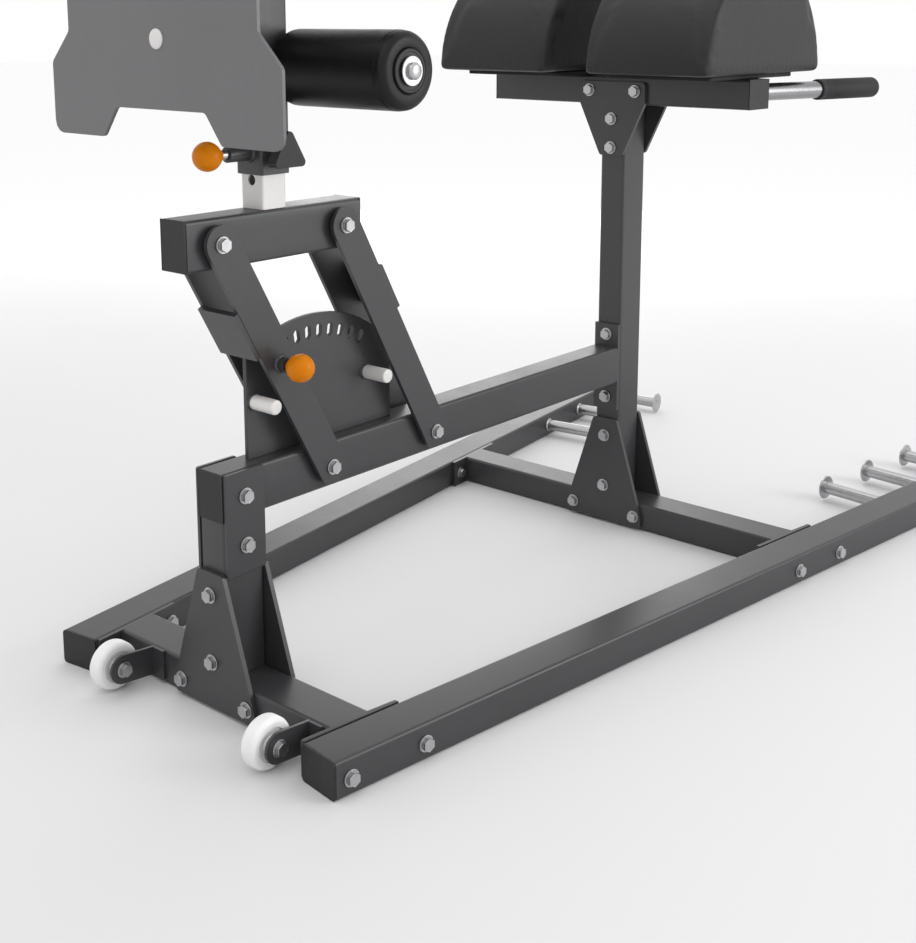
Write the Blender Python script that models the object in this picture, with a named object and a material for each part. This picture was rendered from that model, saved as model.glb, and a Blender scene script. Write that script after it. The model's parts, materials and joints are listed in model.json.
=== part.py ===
"""Roman chair: a splayed base, a main beam, a parallelogram foot-plate carrier and a padded hip rest.

Units are metres, +Z is up, +X points to the rear (the end with the hip pads) and -Y is the near side.
The origin is on the floor, under the centre of the whole machine's bounding box.
"""

import math

import bmesh
import bpy
from mathutils import Matrix, Vector

# ----------------------------------------------------------------------------------------------------
# Driving dimensions
# ----------------------------------------------------------------------------------------------------

GAP = 0.0003                    # clearance between touching pieces
CLEAR = 0.0006                  # clearance on the diameter of a turning fit

FRONT_X = -1.0061               # front ends of the base rails
SEGMENTS = 20                   # facets round a large turned piece
SMALL_SEGMENTS = 12             # facets round a bolt, pin, bore or peg

# Steel sections
TUBE_LONG = 0.080
TUBE_SHORT = 0.060
TUBE_WALL = 0.003
TUBE_CORNER = 0.006
PLATE = 0.008                   # gussets, flanges, arms and sector

# Base rails, splayed outwards towards the rear
RAIL_LENGTH = 2.060
RAIL_SPLAY = math.radians(7.7)
RAIL_HALF_SPAN = 0.3355         # from the centre to a rail's front outer corner
CAP_LIP = 0.0037
CAP_PLUG = 0.020

# Crossmembers and uprights
FRONT_MEMBER_X = FRONT_X + 0.066
REAR_MEMBER_X = FRONT_X + 1.179
FLANGE_LENGTH = 0.180
DRAIN_RADIUS = 0.015            # hole through each flange, into the floor tube
BEAM_BOTTOM = 0.325
BEAM_TOP = BEAM_BOTTOM + TUBE_LONG
CROSSBAR_BOTTOM = 0.928
CROSSBAR_TOP = CROSSBAR_BOTTOM + TUBE_SHORT
CROSSBAR_HALF = 0.316

# Gussets
GUSSET_TOP = 0.240
GUSSET_BOTTOM = 0.006
GUSSET_HALF_TOP = 0.030
GUSSET_HALF_BASE = 0.098
SADDLE_BOTTOM = 0.235
SADDLE_PLATE = 0.006
END_PLATE_BOTTOM = 0.263
END_PLATE_TOP = 0.454
HEAD_GUSSET_TOP = 0.976
HEAD_GUSSET_SHOULDER = 0.932
HEAD_GUSSET_BOTTOM = 0.820
HEAD_GUSSET_HALF_TOP = 0.082
HEAD_GUSSET_HALF_FOOT = 0.028

# Parallelogram
PIVOT_Z = 0.365
FRONT_PIVOT_X = FRONT_X + 0.2916
REAR_PIVOT_X = FRONT_X + 0.5548
ARM_LENGTH = 0.4634             # between pivots
ARM_TILT = math.radians(28.8)   # forwards, at rest
ARM_HALF_WIDTH = 0.030
ARM_INNER_Y = 0.037
ARM_OUTER_Y = ARM_INNER_Y + PLATE
BRACE_START = 0.264             # along the arm from its lower pivot
BRACE_END = 0.354
BOSS_RADIUS = 0.020
PIVOT_BOLT_RADIUS = 0.007
PIVOT_BORE = PIVOT_BOLT_RADIUS + CLEAR / 2
WASHER_RADIUS = 0.014
WASHER = 0.0025
BOLT_HEAD = 0.008
BOLT_HEAD_RADIUS = 0.0115

# Index sector and its stop rods
SECTOR_FRONT_X = FRONT_X + 0.142
SECTOR_REAR_X = FRONT_X + 0.476
SECTOR_RADIUS = 0.258
SLOT_RADIUS = 0.228
SLOT_LENGTH = 0.026
SLOT_WIDTH = 0.012
SLOT_COUNT = 10
SLOT_PITCH = math.radians(6.4)
STOP_ROD_RADIUS = 0.011
STOP_ROD_REACH = 0.056
STOP_RODS = {"front": (FRONT_X + 0.1568, 0.500), "rear": (FRONT_X + 0.4148, 0.499)}

# Pull pins
BALL_RADIUS = 0.023
PIN_RADIUS = 0.0032
PIN_COLLAR_RADIUS = 0.008
HOUSING_RADIUS = 0.0125
HOUSING_BORE = 0.0036
ARM_HOUSING = 0.015
SLEEVE_HOUSING = 0.045
ARM_BALL_Y = -0.088
SLEEVE_BALL_X = FRONT_X + 0.081

# Top bar, post and sleeve
TOP_BAR_LENGTH = 0.3645
TOP_BAR_REAR_REACH = 0.046      # behind the upper rear pivot
POST = 0.050
POST_CORNER = 0.004
POST_X = FRONT_X + 0.193        # centre line of the post
POST_TOP = 1.150
POST_HOLE_Z = 0.857             # lowest adjustment hole
POST_HOLE_PITCH = 0.043
POST_HOLES = 7
POST_HOLE_RADIUS = 0.0085
SLEEVE = 0.060
SLEEVE_CORNER = 0.005
SLEEVE_BOTTOM = 0.866
SLEEVE_TOP = 1.300
SLEEVE_WALL = 0.0046
SLEEVE_PIN_Z = POST_HOLE_Z + POST_HOLE_PITCH

# Clamp knob
KNOB_BOSS = 0.010
KNOB_BOSS_RADIUS = 0.010
KNOB_LOBE_RADIUS = 0.042
KNOB_THICKNESS = 0.020
STUD_RADIUS = 0.004

# Foot plate
FOOT_PLATE_X = FRONT_X - 0.005
FOOT_PLATE_THICKNESS = 0.006
FOOT_PLATE_MID_Z = 1.140
STRAP_HALF_HEIGHT = 0.100
STANDOFF_OFFSET = 0.063         # of each standoff from the plate's mid height
STANDOFF = 0.050

# Ankle rollers
ROLLER_RADIUS = 0.062
ROLLER_INNER_Y = 0.034
ROLLER_OUTER_Y = 0.277
ROLLER_BORE = 0.013
AXLE_RADIUS = 0.0125
ROLLER_X = POST_X + SLEEVE / 2 + AXLE_RADIUS + GAP
ROLLER_OFFSET = 0.109           # of each roller from the plate's mid height

# Hip pads and handles
PAD_X = FRONT_X + 1.225
PAD_RADIUS = 0.235
PAD_INNER_Y = 0.047
PAD_OUTER_Y = 0.332
BOARD_LENGTH = 0.340
BOARD_INNER_Y = 0.060
BOARD_OUTER_Y = 0.300
BOARD_THICKNESS = 0.009
HANDLE_Y = 0.267
HANDLE_Z = 0.958
HANDLE_ANGLE = math.radians(13.7)
HANDLE_LENGTH = 0.395
HANDLE_RADIUS = 0.018
GRIP_LENGTH = 0.179
GRIP_RADIUS = 0.022
GRIP_END = 0.006                # solid rubber beyond the tube's end

# Transport wheels
WHEEL_X = FRONT_X + 0.001
WHEEL_Z = 0.042
WHEEL_RADIUS = 0.041
WHEEL_WIDTH = 0.030
WHEEL_Y = 0.190
WHEEL_AXLE_RADIUS = 0.005
BRACKET_PLATE = 0.005
BRACKET_OFFSET = 0.0265         # of the bracket plate's middle from the wheel's middle
BRACKET_BOTTOM = 0.010
BRACKET_HEIGHT = 0.050
BRACKET_FLANGE = 0.032

# Band pegs
PEG_STATIONS = (1.610, 1.786, 1.962)
PEG_LENGTH = 0.160
PEG_RADIUS = 0.014
PEG_DISC_RADIUS = 0.027
PEG_DISC = 0.005

SIDES = {"near": -1, "far": 1}


# ----------------------------------------------------------------------------------------------------
# Scene, materials and placing
# ----------------------------------------------------------------------------------------------------

def clear_scene():
    """Remove every object that the scene starts with."""
    for obj in list(bpy.data.objects):
        bpy.data.objects.remove(obj, do_unlink=True)


def make_material(name, color, roughness, metallic=0.0):
    """Return a Principled material of one colour."""
    material = bpy.data.materials.new(name)
    material.use_nodes = True
    shader = material.node_tree.nodes["Principled BSDF"]
    shader.inputs["Base Color"].default_value = (*color, 1.0)
    shader.inputs["Roughness"].default_value = roughness
    shader.inputs["Metallic"].default_value = metallic
    material.diffuse_color = (*color, 1.0)
    return material


def make_pivot(name, location, parent=None, rotation_z=0.0):
    """Return an empty that its moving or splayed pieces hang from."""
    empty = bpy.data.objects.new(name, None)
    bpy.context.scene.collection.objects.link(empty)
    empty.empty_display_size = 0.05
    empty.rotation_euler.z = rotation_z
    empty.parent = parent
    empty.location = Vector(location) - world_location(parent)
    return empty


def world_location(empty):
    """Return an empty's place in the part's frame, adding up its parents'."""
    total = Vector((0, 0, 0))
    while empty is not None:
        total += empty.location
        empty = empty.parent
    return total


def mesh_from(bm, name):
    """Turn a finished bmesh into a mesh with its faces pointing out."""
    bmesh.ops.recalc_face_normals(bm, faces=bm.faces)
    mesh = bpy.data.meshes.new(name)
    bm.to_mesh(mesh)
    bm.free()
    return mesh


def add_piece(name, bm, material, parent, at):
    """Link one named piece, with its origin at a place in the part's frame."""
    mesh = mesh_from(bm, name)
    mesh.materials.append(material)
    mesh.shade_smooth()
    mesh.set_sharp_from_angle(angle=math.radians(35))
    piece = bpy.data.objects.new(name, mesh)
    bpy.context.scene.collection.objects.link(piece)
    piece.parent = parent
    piece.location = Vector(at) - world_location(parent)
    return piece


def add_tool(piece, name, bm, operation):
    """Join a hidden shape to a piece, or cut it away, in the piece's own coordinates."""
    tool = bpy.data.objects.new(name, mesh_from(bm, name))
    bpy.context.scene.collection.objects.link(tool)
    tool.parent = piece
    tool.hide_render = True
    tool.display_type = 'WIRE'
    modifier = piece.modifiers.new(name, 'BOOLEAN')
    modifier.operation = operation
    modifier.solver = 'EXACT'
    modifier.object = tool


# ----------------------------------------------------------------------------------------------------
# Shapes
# ----------------------------------------------------------------------------------------------------

def rounded_outline(corners, radii, steps=3):
    """Round each corner of a closed outline of (u, v) points with an arc."""
    outline = []
    count = len(corners)
    for index, corner in enumerate(corners):
        here = Vector(corner)
        radius = radii[index] if isinstance(radii, (list, tuple)) else radii
        back = (Vector(corners[index - 1]) - here).normalized()
        ahead = (Vector(corners[(index + 1) % count]) - here).normalized()
        half = back.angle(ahead) / 2
        centre = here + (back + ahead).normalized() * (radius / math.sin(half))
        start = here + back * (radius / math.tan(half)) - centre
        end = here + ahead * (radius / math.tan(half)) - centre
        sweep = math.atan2(start.x * end.y - start.y * end.x, start.dot(end))
        outline += [centre + Matrix.Rotation(sweep * step / steps, 2) @ start for step in range(steps + 1)]
    return outline


def rectangle(half_u, half_v, radius, steps=2):
    """Return a centred rectangle's outline, with rounded corners."""
    corners = [(half_u, half_v), (-half_u, half_v), (-half_u, -half_v), (half_u, -half_v)]
    return rounded_outline(corners, radius, steps)


def place_across(axis, u, v, along):
    """Return the point at (u, v) across an axis and at a distance along it."""
    return {'X': (along, u, v), 'Y': (u, along, v), 'Z': (u, v, along)}[axis]


def join_rings(bm, ring, after):
    """Fill the band of faces between two rings of the same number of points."""
    count = len(ring)
    for index in range(count):
        step = (index + 1) % count
        bm.faces.new((ring[index], after[index], after[step], ring[step]))


def prism(bm, outline, low, high, axis):
    """Add a solid that has an outline across an axis and runs along it from low to high."""
    rings = [[bm.verts.new(place_across(axis, u, v, along)) for u, v in outline] for along in (low, high)]
    bm.faces.new(rings[0])
    bm.faces.new(rings[1])
    join_rings(bm, rings[0], rings[1])


def box(bm, low, high):
    """Add a plain box between two corners."""
    outline = [(low[0], low[1]), (high[0], low[1]), (high[0], high[1]), (low[0], high[1])]
    prism(bm, outline, low[2], high[2], 'Z')


def hollow(bm, half_u, half_v, wall, low, high, axis, corner=TUBE_CORNER):
    """Add an open rectangular tube along an axis."""
    outer = rectangle(half_u, half_v, corner)
    inner = rectangle(half_u - wall, half_v - wall, max(corner - wall, 0.0005))
    rings = [[bm.verts.new(place_across(axis, u, v, along)) for u, v in outline]
             for outline, along in ((outer, low), (outer, high), (inner, high), (inner, low))]
    for ring, after in zip(rings, rings[1:] + rings[:1]):
        join_rings(bm, ring, after)


def rod(bm, radius, start, end, segments=SEGMENTS):
    """Add a solid round rod between two points."""
    start = Vector(start)
    span = Vector(end) - start
    turn = span.to_track_quat('Z', 'Y').to_matrix().to_4x4()
    middle = Matrix.Translation(start + span / 2)
    bmesh.ops.create_cone(bm, cap_ends=True, segments=segments, radius1=radius, radius2=radius,
                          depth=span.length, matrix=middle @ turn)


def turned(bm, profile, direction, segments=SEGMENTS):
    """Turn a profile of (radius, along) points about a direction; an off-axis profile is closed."""
    axis = Vector(direction).normalized()
    out = axis.orthogonal().normalized()
    verts = [bm.verts.new(axis * along + out * radius) for radius, along in profile]
    edges = [bm.edges.new(pair) for pair in zip(verts, verts[1:])]
    if profile[0][0] > 0:
        edges.append(bm.edges.new((verts[-1], verts[0])))
    bmesh.ops.spin(bm, geom=verts + edges, cent=(0, 0, 0), axis=axis, angle=math.tau,
                   steps=segments, use_merge=True)
    bmesh.ops.remove_doubles(bm, verts=bm.verts, dist=1e-6)


def arc(radius, start, end, steps, centre=(0.0, 0.0)):
    """Return points on an arc, both ends included."""
    angles = [start + (end - start) * step / steps for step in range(steps + 1)]
    return [(centre[0] + radius * math.cos(a), centre[1] + radius * math.sin(a)) for a in angles]


# ----------------------------------------------------------------------------------------------------
# Base
# ----------------------------------------------------------------------------------------------------

def build_rails(base, steel, plastic, chrome):
    """Build each rail with its end caps and band pegs, in its own splayed frame."""
    for side, sign in SIDES.items():
        corner = Vector((FRONT_X, sign * RAIL_HALF_SPAN, 0))
        frame = make_pivot(f"{side}_rail_frame", corner, base, sign * RAIL_SPLAY)
        middle = Vector((0, -sign * TUBE_LONG / 2, TUBE_SHORT / 2))
        bm = bmesh.new()
        hollow(bm, TUBE_LONG / 2, TUBE_SHORT / 2, TUBE_WALL, CAP_LIP + GAP, RAIL_LENGTH - CAP_LIP - GAP, 'X')
        rail = add_piece(f"rail_{side}", bm, steel, frame, corner)
        rail.location = middle
        for end, station, inward in (("front", 0.0, 1), ("rear", RAIL_LENGTH, -1)):
            cap = add_piece(f"rail_cap_{side}_{end}", end_cap(inward), plastic, frame, corner)
            cap.location = middle + Vector((station, 0, 0))
        for number, station in enumerate(PEG_STATIONS, start=1):
            peg = add_piece(f"band_peg_{side}_{number}", band_peg(-sign), chrome, frame, corner)
            peg.location = (station, -sign * (TUBE_LONG + GAP), TUBE_SHORT / 2)


def end_cap(inward):
    """Return a rail's end cap: a lip over the tube's end and a plug inside it."""
    lip = rectangle(TUBE_LONG / 2, TUBE_SHORT / 2, TUBE_CORNER)
    inset = TUBE_WALL + GAP
    plug = rectangle(TUBE_LONG / 2 - inset, TUBE_SHORT / 2 - inset, TUBE_CORNER - TUBE_WALL)
    bm = bmesh.new()
    rings = [[bm.verts.new((inward * along, u, v)) for u, v in outline]
             for outline, along in ((lip, 0.0), (lip, CAP_LIP), (plug, CAP_LIP), (plug, CAP_PLUG))]
    for ring, after in zip(rings, rings[1:]):
        join_rings(bm, ring, after)
    bm.faces.new(rings[0])
    bm.faces.new(rings[-1])
    return bm


def band_peg(direction):
    """Return a peg that stands out of a rail's inner face and ends in a disc."""
    disc = PEG_LENGTH - PEG_DISC
    profile = [(0, 0), (PEG_RADIUS, 0), (PEG_RADIUS, disc), (PEG_DISC_RADIUS, disc),
               (PEG_DISC_RADIUS, PEG_LENGTH), (0, PEG_LENGTH)]
    bm = bmesh.new()
    turned(bm, profile, (0, direction, 0), SMALL_SEGMENTS)
    return bm


def rail_inner_y(x):
    """Return how far from the centre line a rail's inner face is, at a distance behind the front."""
    return RAIL_HALF_SPAN - TUBE_LONG / math.cos(RAIL_SPLAY) + x * math.tan(RAIL_SPLAY)


def build_crossmembers(base, steel):
    """Build the two floor tubes, each welded to a flange plate at either end."""
    for name, front in (("front", FRONT_MEMBER_X), ("rear", REAR_MEMBER_X)):
        middle = front + TUBE_LONG / 2
        reach = rail_inner_y(middle - FRONT_X)
        bm = bmesh.new()
        hollow(bm, TUBE_LONG / 2, TUBE_SHORT / 2, TUBE_WALL, -reach, reach, 'Y')
        skew_ends(bm, reach)
        member = add_piece(f"{name}_crossmember", bm, steel, base, (middle, 0, TUBE_SHORT / 2))
        flanges = bmesh.new()
        for sign in SIDES.values():
            add_flange(flanges, sign, reach)
        add_tool(member, f"{name}_crossmember_flanges", flanges, 'UNION')
        drain = bmesh.new()
        rod(drain, DRAIN_RADIUS, (0, -reach - TUBE_LONG, 0), (0, reach + TUBE_LONG, 0), SMALL_SEGMENTS)
        add_tool(member, f"{name}_crossmember_drain", drain, 'DIFFERENCE')


def skew_ends(bm, reach):
    """Slide a floor tube's end rings so that each end lies inside its flange, parallel to its rail."""
    for vert in bm.verts:
        sign = math.copysign(1, vert.co.y)
        vert.co.y = sign * (reach - PLATE / 2 + vert.co.x * math.tan(RAIL_SPLAY))


def add_flange(bm, sign, reach):
    """Add a flange plate that lies flat against a rail's inner face."""
    slope = math.tan(RAIL_SPLAY)
    span = FLANGE_LENGTH / 2 * math.cos(RAIL_SPLAY)
    outer = reach - GAP / math.cos(RAIL_SPLAY)
    inner = outer - PLATE / math.cos(RAIL_SPLAY)
    outline = [(-span, sign * (outer - span * slope)), (span, sign * (outer + span * slope)),
               (span, sign * (inner + span * slope)), (-span, sign * (inner - span * slope))]
    prism(bm, outline, -TUBE_SHORT / 2, TUBE_SHORT / 2, 'Z')


def build_uprights(base, steel):
    """Build the front and rear uprights, which stand on the crossmembers."""
    uprights = (("front", FRONT_MEMBER_X, BEAM_BOTTOM), ("rear", REAR_MEMBER_X, CROSSBAR_BOTTOM))
    for name, front, top in uprights:
        bm = bmesh.new()
        hollow(bm, TUBE_LONG / 2, TUBE_SHORT / 2, TUBE_WALL, TUBE_SHORT + GAP, top - GAP, 'Z')
        add_piece(f"{name}_upright", bm, steel, base, (front + TUBE_LONG / 2, 0, 0))


def foot_gusset_outline():
    """Return the outline in (y, z) of the trapezoid that braces an upright at the floor."""
    shoulder = GUSSET_BOTTOM + 0.022
    right = [(GUSSET_HALF_BASE, GUSSET_BOTTOM), (GUSSET_HALF_BASE, shoulder), (GUSSET_HALF_TOP, GUSSET_TOP)]
    return rounded_outline(right + [(-y, z) for y, z in reversed(right)], 0.008)


def head_gusset_outline():
    """Return the outline in (y, z) of the plate that braces the crossbar on the rear upright."""
    right = [(HEAD_GUSSET_HALF_FOOT, HEAD_GUSSET_BOTTOM), (HEAD_GUSSET_HALF_TOP, HEAD_GUSSET_SHOULDER),
             (HEAD_GUSSET_HALF_TOP, HEAD_GUSSET_TOP)]
    return rounded_outline(right + [(-y, z) for y, z in reversed(right)], 0.008)


def build_gussets(base, steel):
    """Build the plates on the front and rear faces of the uprights, at the floor and at the crossbar."""
    plates = (("front_foot_gusset", FRONT_MEMBER_X, foot_gusset_outline()),
              ("rear_foot_gusset", REAR_MEMBER_X, foot_gusset_outline()),
              ("head_gusset", REAR_MEMBER_X, head_gusset_outline()))
    for name, front, outline in plates:
        for face, station in (("ahead", front - GAP - PLATE), ("behind", front + TUBE_LONG + GAP)):
            bm = bmesh.new()
            prism(bm, outline, 0, PLATE, 'X')
            add_piece(f"{name}_{face}", bm, steel, base, (station, 0, 0))


def build_saddles(base, steel):
    """Build the side plates that join the main beam to the front upright."""
    corners = [(0, SADDLE_BOTTOM), (TUBE_LONG, SADDLE_BOTTOM), (TUBE_LONG, BEAM_TOP), (0, BEAM_TOP)]
    for side, sign in SIDES.items():
        face = sign * (TUBE_SHORT / 2 + GAP)
        bm = bmesh.new()
        prism(bm, rounded_outline(corners, 0.004), face, face + sign * SADDLE_PLATE, 'Y')
        add_piece(f"saddle_plate_{side}", bm, steel, base, (FRONT_MEMBER_X, 0, 0))


def build_main_beam(base, steel):
    """Build the long beam, with its rear end plate and the bosses that carry the arms' lower pivots."""
    length = REAR_MEMBER_X - GAP - FRONT_MEMBER_X
    bm = bmesh.new()
    hollow(bm, TUBE_SHORT / 2, TUBE_LONG / 2, TUBE_WALL, 0, length - PLATE / 2, 'X')
    beam = add_piece("main_beam", bm, steel, base, (FRONT_MEMBER_X, 0, PIVOT_Z))
    plate = bmesh.new()
    box(plate, (length - PLATE, -TUBE_SHORT / 2, END_PLATE_BOTTOM - PIVOT_Z),
        (length, TUBE_SHORT / 2, END_PLATE_TOP - PIVOT_Z))
    add_tool(beam, "main_beam_end_plate", plate, 'UNION')
    stations = [pivot_x - FRONT_MEMBER_X for pivot_x in (FRONT_PIVOT_X, REAR_PIVOT_X)]
    add_bosses(beam, stations)


def add_bosses(bar, stations):
    """Weld a bored boss through a bar at each station, ending just short of the arms."""
    reach = ARM_INNER_Y - GAP
    bosses = bmesh.new()
    bores = bmesh.new()
    for x in stations:
        rod(bosses, BOSS_RADIUS, (x, -reach, 0), (x, reach, 0))
        rod(bores, PIVOT_BORE, (x, -TUBE_SHORT, 0), (x, TUBE_SHORT, 0), SMALL_SEGMENTS)
    add_tool(bar, f"{bar.name}_bosses", bosses, 'UNION')
    add_tool(bar, f"{bar.name}_bores", bores, 'DIFFERENCE')


def build_sector(base, steel):
    """Build the index sector: an arc-topped plate with radial slots and two welded stop rods."""
    front = SECTOR_FRONT_X - FRONT_PIVOT_X
    rear = SECTOR_REAR_X - FRONT_PIVOT_X
    bottom = BEAM_TOP + GAP - PIVOT_Z
    top = arc(SECTOR_RADIUS, math.acos(rear / SECTOR_RADIUS), math.acos(front / SECTOR_RADIUS), 20)
    bm = bmesh.new()
    prism(bm, [(front, bottom), (rear, bottom)] + top, -PLATE / 2, PLATE / 2, 'Y')
    sector = add_piece("index_sector", bm, steel, base, (FRONT_PIVOT_X, 0, PIVOT_Z))
    slots = bmesh.new()
    for number in range(SLOT_COUNT):
        add_slot(slots, math.pi / 2 + ARM_TILT - number * SLOT_PITCH)
    add_tool(sector, "index_sector_slots", slots, 'DIFFERENCE')
    rods = bmesh.new()
    for x, z in STOP_RODS.values():
        rod(rods, STOP_ROD_RADIUS, (x - FRONT_PIVOT_X, 0, z - PIVOT_Z),
            (x - FRONT_PIVOT_X, -STOP_ROD_REACH, z - PIVOT_Z), SMALL_SEGMENTS)
    add_tool(sector, "index_sector_rods", rods, 'UNION')


def add_slot(bm, angle):
    """Add one radial slot's cutter, with round ends."""
    half = (SLOT_LENGTH - SLOT_WIDTH) / 2
    outer = arc(SLOT_WIDTH / 2, -math.pi / 2, math.pi / 2, 2, (SLOT_RADIUS + half, 0))
    inner = arc(SLOT_WIDTH / 2, math.pi / 2, 3 * math.pi / 2, 2, (SLOT_RADIUS - half, 0))
    turn = Matrix.Rotation(angle, 2)
    prism(bm, [turn @ Vector(point) for point in outer + inner], -PLATE, PLATE, 'Y')


# ----------------------------------------------------------------------------------------------------
# Hip rest
# ----------------------------------------------------------------------------------------------------

def build_hip_rest(base, steel, wood, vinyl):
    """Build the crossbar and, on each side of the centre, a base board and a half-round pad."""
    bm = bmesh.new()
    hollow(bm, TUBE_LONG / 2, TUBE_SHORT / 2, TUBE_WALL, -CROSSBAR_HALF, CROSSBAR_HALF, 'Y')
    add_piece("pad_crossbar", bm, steel, base,
              (REAR_MEMBER_X + TUBE_LONG / 2, 0, CROSSBAR_BOTTOM + TUBE_SHORT / 2))
    board_z = CROSSBAR_TOP + GAP
    pad_z = board_z + BOARD_THICKNESS + GAP
    board_y = (BOARD_INNER_Y + BOARD_OUTER_Y) / 2
    board = rectangle(BOARD_LENGTH / 2, (BOARD_OUTER_Y - BOARD_INNER_Y) / 2, 0.010)
    for side, sign in SIDES.items():
        bm = bmesh.new()
        prism(bm, board, 0, BOARD_THICKNESS, 'Z')
        add_piece(f"pad_board_{side}", bm, wood, base, (PAD_X, sign * board_y, board_z))
        bm = bmesh.new()
        prism(bm, arc(PAD_RADIUS, 0, math.pi, 20), sign * PAD_INNER_Y, sign * PAD_OUTER_Y, 'Y')
        add_piece(f"hip_pad_{side}", bm, vinyl, base, (PAD_X, 0, pad_z))


def build_handles(base, chrome, rubber):
    """Build the two handles, which run rearwards and outwards from the crossbar, and their grips."""
    for side, sign in SIDES.items():
        direction = Vector((math.cos(HANDLE_ANGLE), sign * math.sin(HANDLE_ANGLE), 0))
        root = (REAR_MEMBER_X + TUBE_LONG + GAP, sign * HANDLE_Y, HANDLE_Z)
        bm = bmesh.new()
        rod(bm, HANDLE_RADIUS, -direction * HANDLE_RADIUS, direction * (HANDLE_LENGTH - GRIP_END))
        cut = bmesh.ops.bisect_plane(bm, geom=bm.verts[:] + bm.edges[:] + bm.faces[:], plane_co=(0, 0, 0),
                                     plane_no=(1, 0, 0), clear_inner=True)
        edges = [item for item in cut["geom_cut"] if isinstance(item, bmesh.types.BMEdge)]
        bmesh.ops.holes_fill(bm, edges=edges)
        add_piece(f"handle_{side}", bm, chrome, base, root)
        bm = bmesh.new()
        turned(bm, grip_profile(), direction)
        add_piece(f"grip_{side}", bm, rubber, base, root)


def grip_profile():
    """Return a grip's profile along its handle: a blind bore inside and a domed end."""
    bore = HANDLE_RADIUS + GAP
    floor = HANDLE_LENGTH - GRIP_END + GAP
    start = HANDLE_LENGTH - GRIP_LENGTH
    angles = [math.pi / 2 * step / 3 for step in range(3)]
    dome = [(GRIP_RADIUS * math.cos(a), HANDLE_LENGTH + GRIP_RADIUS / 2 * math.sin(a)) for a in angles]
    return [(0, floor), (bore, floor), (bore, start), (GRIP_RADIUS, start)] + dome + [
        (0, HANDLE_LENGTH + GRIP_RADIUS / 2)]


# ----------------------------------------------------------------------------------------------------
# Transport wheels
# ----------------------------------------------------------------------------------------------------

def build_wheels(base, steel, white):
    """Build the two wheels, each on a bent bracket that also carries its axle bolt."""
    for side, sign in SIDES.items():
        hub = (WHEEL_X, sign * WHEEL_Y, WHEEL_Z)
        pivot = make_pivot(f"wheel_{side}_axis", hub, base)
        bm = bmesh.new()
        turned(bm, wheel_profile(), (0, 1, 0))
        add_piece(f"wheel_{side}", bm, white, pivot, hub)
        build_wheel_bracket(side, hub, base, steel)


def wheel_profile():
    """Return a wheel's profile: a bored disc with rounded edges."""
    half = WHEEL_WIDTH / 2
    edge = 0.006
    bore = WHEEL_AXLE_RADIUS + CLEAR / 2
    low = arc(edge, math.pi, math.pi / 2, 2, (edge - half, WHEEL_RADIUS - edge))
    high = arc(edge, math.pi / 2, 0, 2, (half - edge, WHEEL_RADIUS - edge))
    return [(bore, -half)] + [(radius, along) for along, radius in low + high] + [(bore, half)]


def build_wheel_bracket(side, hub, base, steel):
    """Build a bracket: a round-nosed plate beside the wheel, bent onto the crossmember's front face."""
    reach = FRONT_MEMBER_X - GAP - WHEEL_X
    low = BRACKET_BOTTOM - WHEEL_Z
    high = low + BRACKET_HEIGHT
    plate_low = -BRACKET_OFFSET - BRACKET_PLATE / 2
    plate_high = plate_low + BRACKET_PLATE
    nose = arc(BRACKET_HEIGHT / 2, math.pi / 2, 3 * math.pi / 2, 10)
    bm = bmesh.new()
    prism(bm, nose + [(reach, low), (reach, high)], plate_low, plate_high, 'Y')
    bracket = add_piece(f"wheel_bracket_{side}", bm, steel, base, hub)
    flange = bmesh.new()
    box(flange, (reach - BRACKET_PLATE, plate_high - BRACKET_FLANGE, low), (reach, plate_high - 0.001, high))
    add_tool(bracket, f"wheel_bracket_{side}_flange", flange, 'UNION')
    bolt = bmesh.new()
    turned(bolt, axle_bolt_profile(plate_low, plate_high), (0, 1, 0), SMALL_SEGMENTS)
    add_tool(bracket, f"wheel_bracket_{side}_bolt", bolt, 'UNION')


def axle_bolt_profile(plate_low, plate_high):
    """Return a wheel bolt's profile: head, washer, the stretch in the plate, spacer, axle and nut."""
    wheel_end = WHEEL_WIDTH / 2 + GAP
    head, washer, spacer = 0.0085, 0.012, 0.009
    return [(0, plate_low - 0.008), (head, plate_low - 0.008), (head, plate_low - 0.002),
            (washer, plate_low - 0.002), (washer, plate_high - 0.001), (spacer, plate_high - 0.001),
            (spacer, -wheel_end), (WHEEL_AXLE_RADIUS, -wheel_end), (WHEEL_AXLE_RADIUS, wheel_end),
            (head, wheel_end), (head, wheel_end + 0.007), (0, wheel_end + 0.007)]


# ----------------------------------------------------------------------------------------------------
# Parallelogram
# ----------------------------------------------------------------------------------------------------

def arm_point(along, across):
    """Return (x, z) from an arm's lower pivot, at a distance along it and towards its front."""
    along_x, along_z = -math.sin(ARM_TILT), math.cos(ARM_TILT)
    return along * along_x - across * along_z, along * along_z + across * along_x


def arm_outline():
    """Return an arm bar's outline: parallel sides with a round end about each pivot."""
    lower = arc(ARM_HALF_WIDTH, -math.pi / 2, -3 * math.pi / 2, 10)
    upper = arc(ARM_HALF_WIDTH, math.pi / 2, -math.pi / 2, 10, (ARM_LENGTH, 0))
    return [arm_point(along, across) for along, across in lower + upper]


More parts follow.
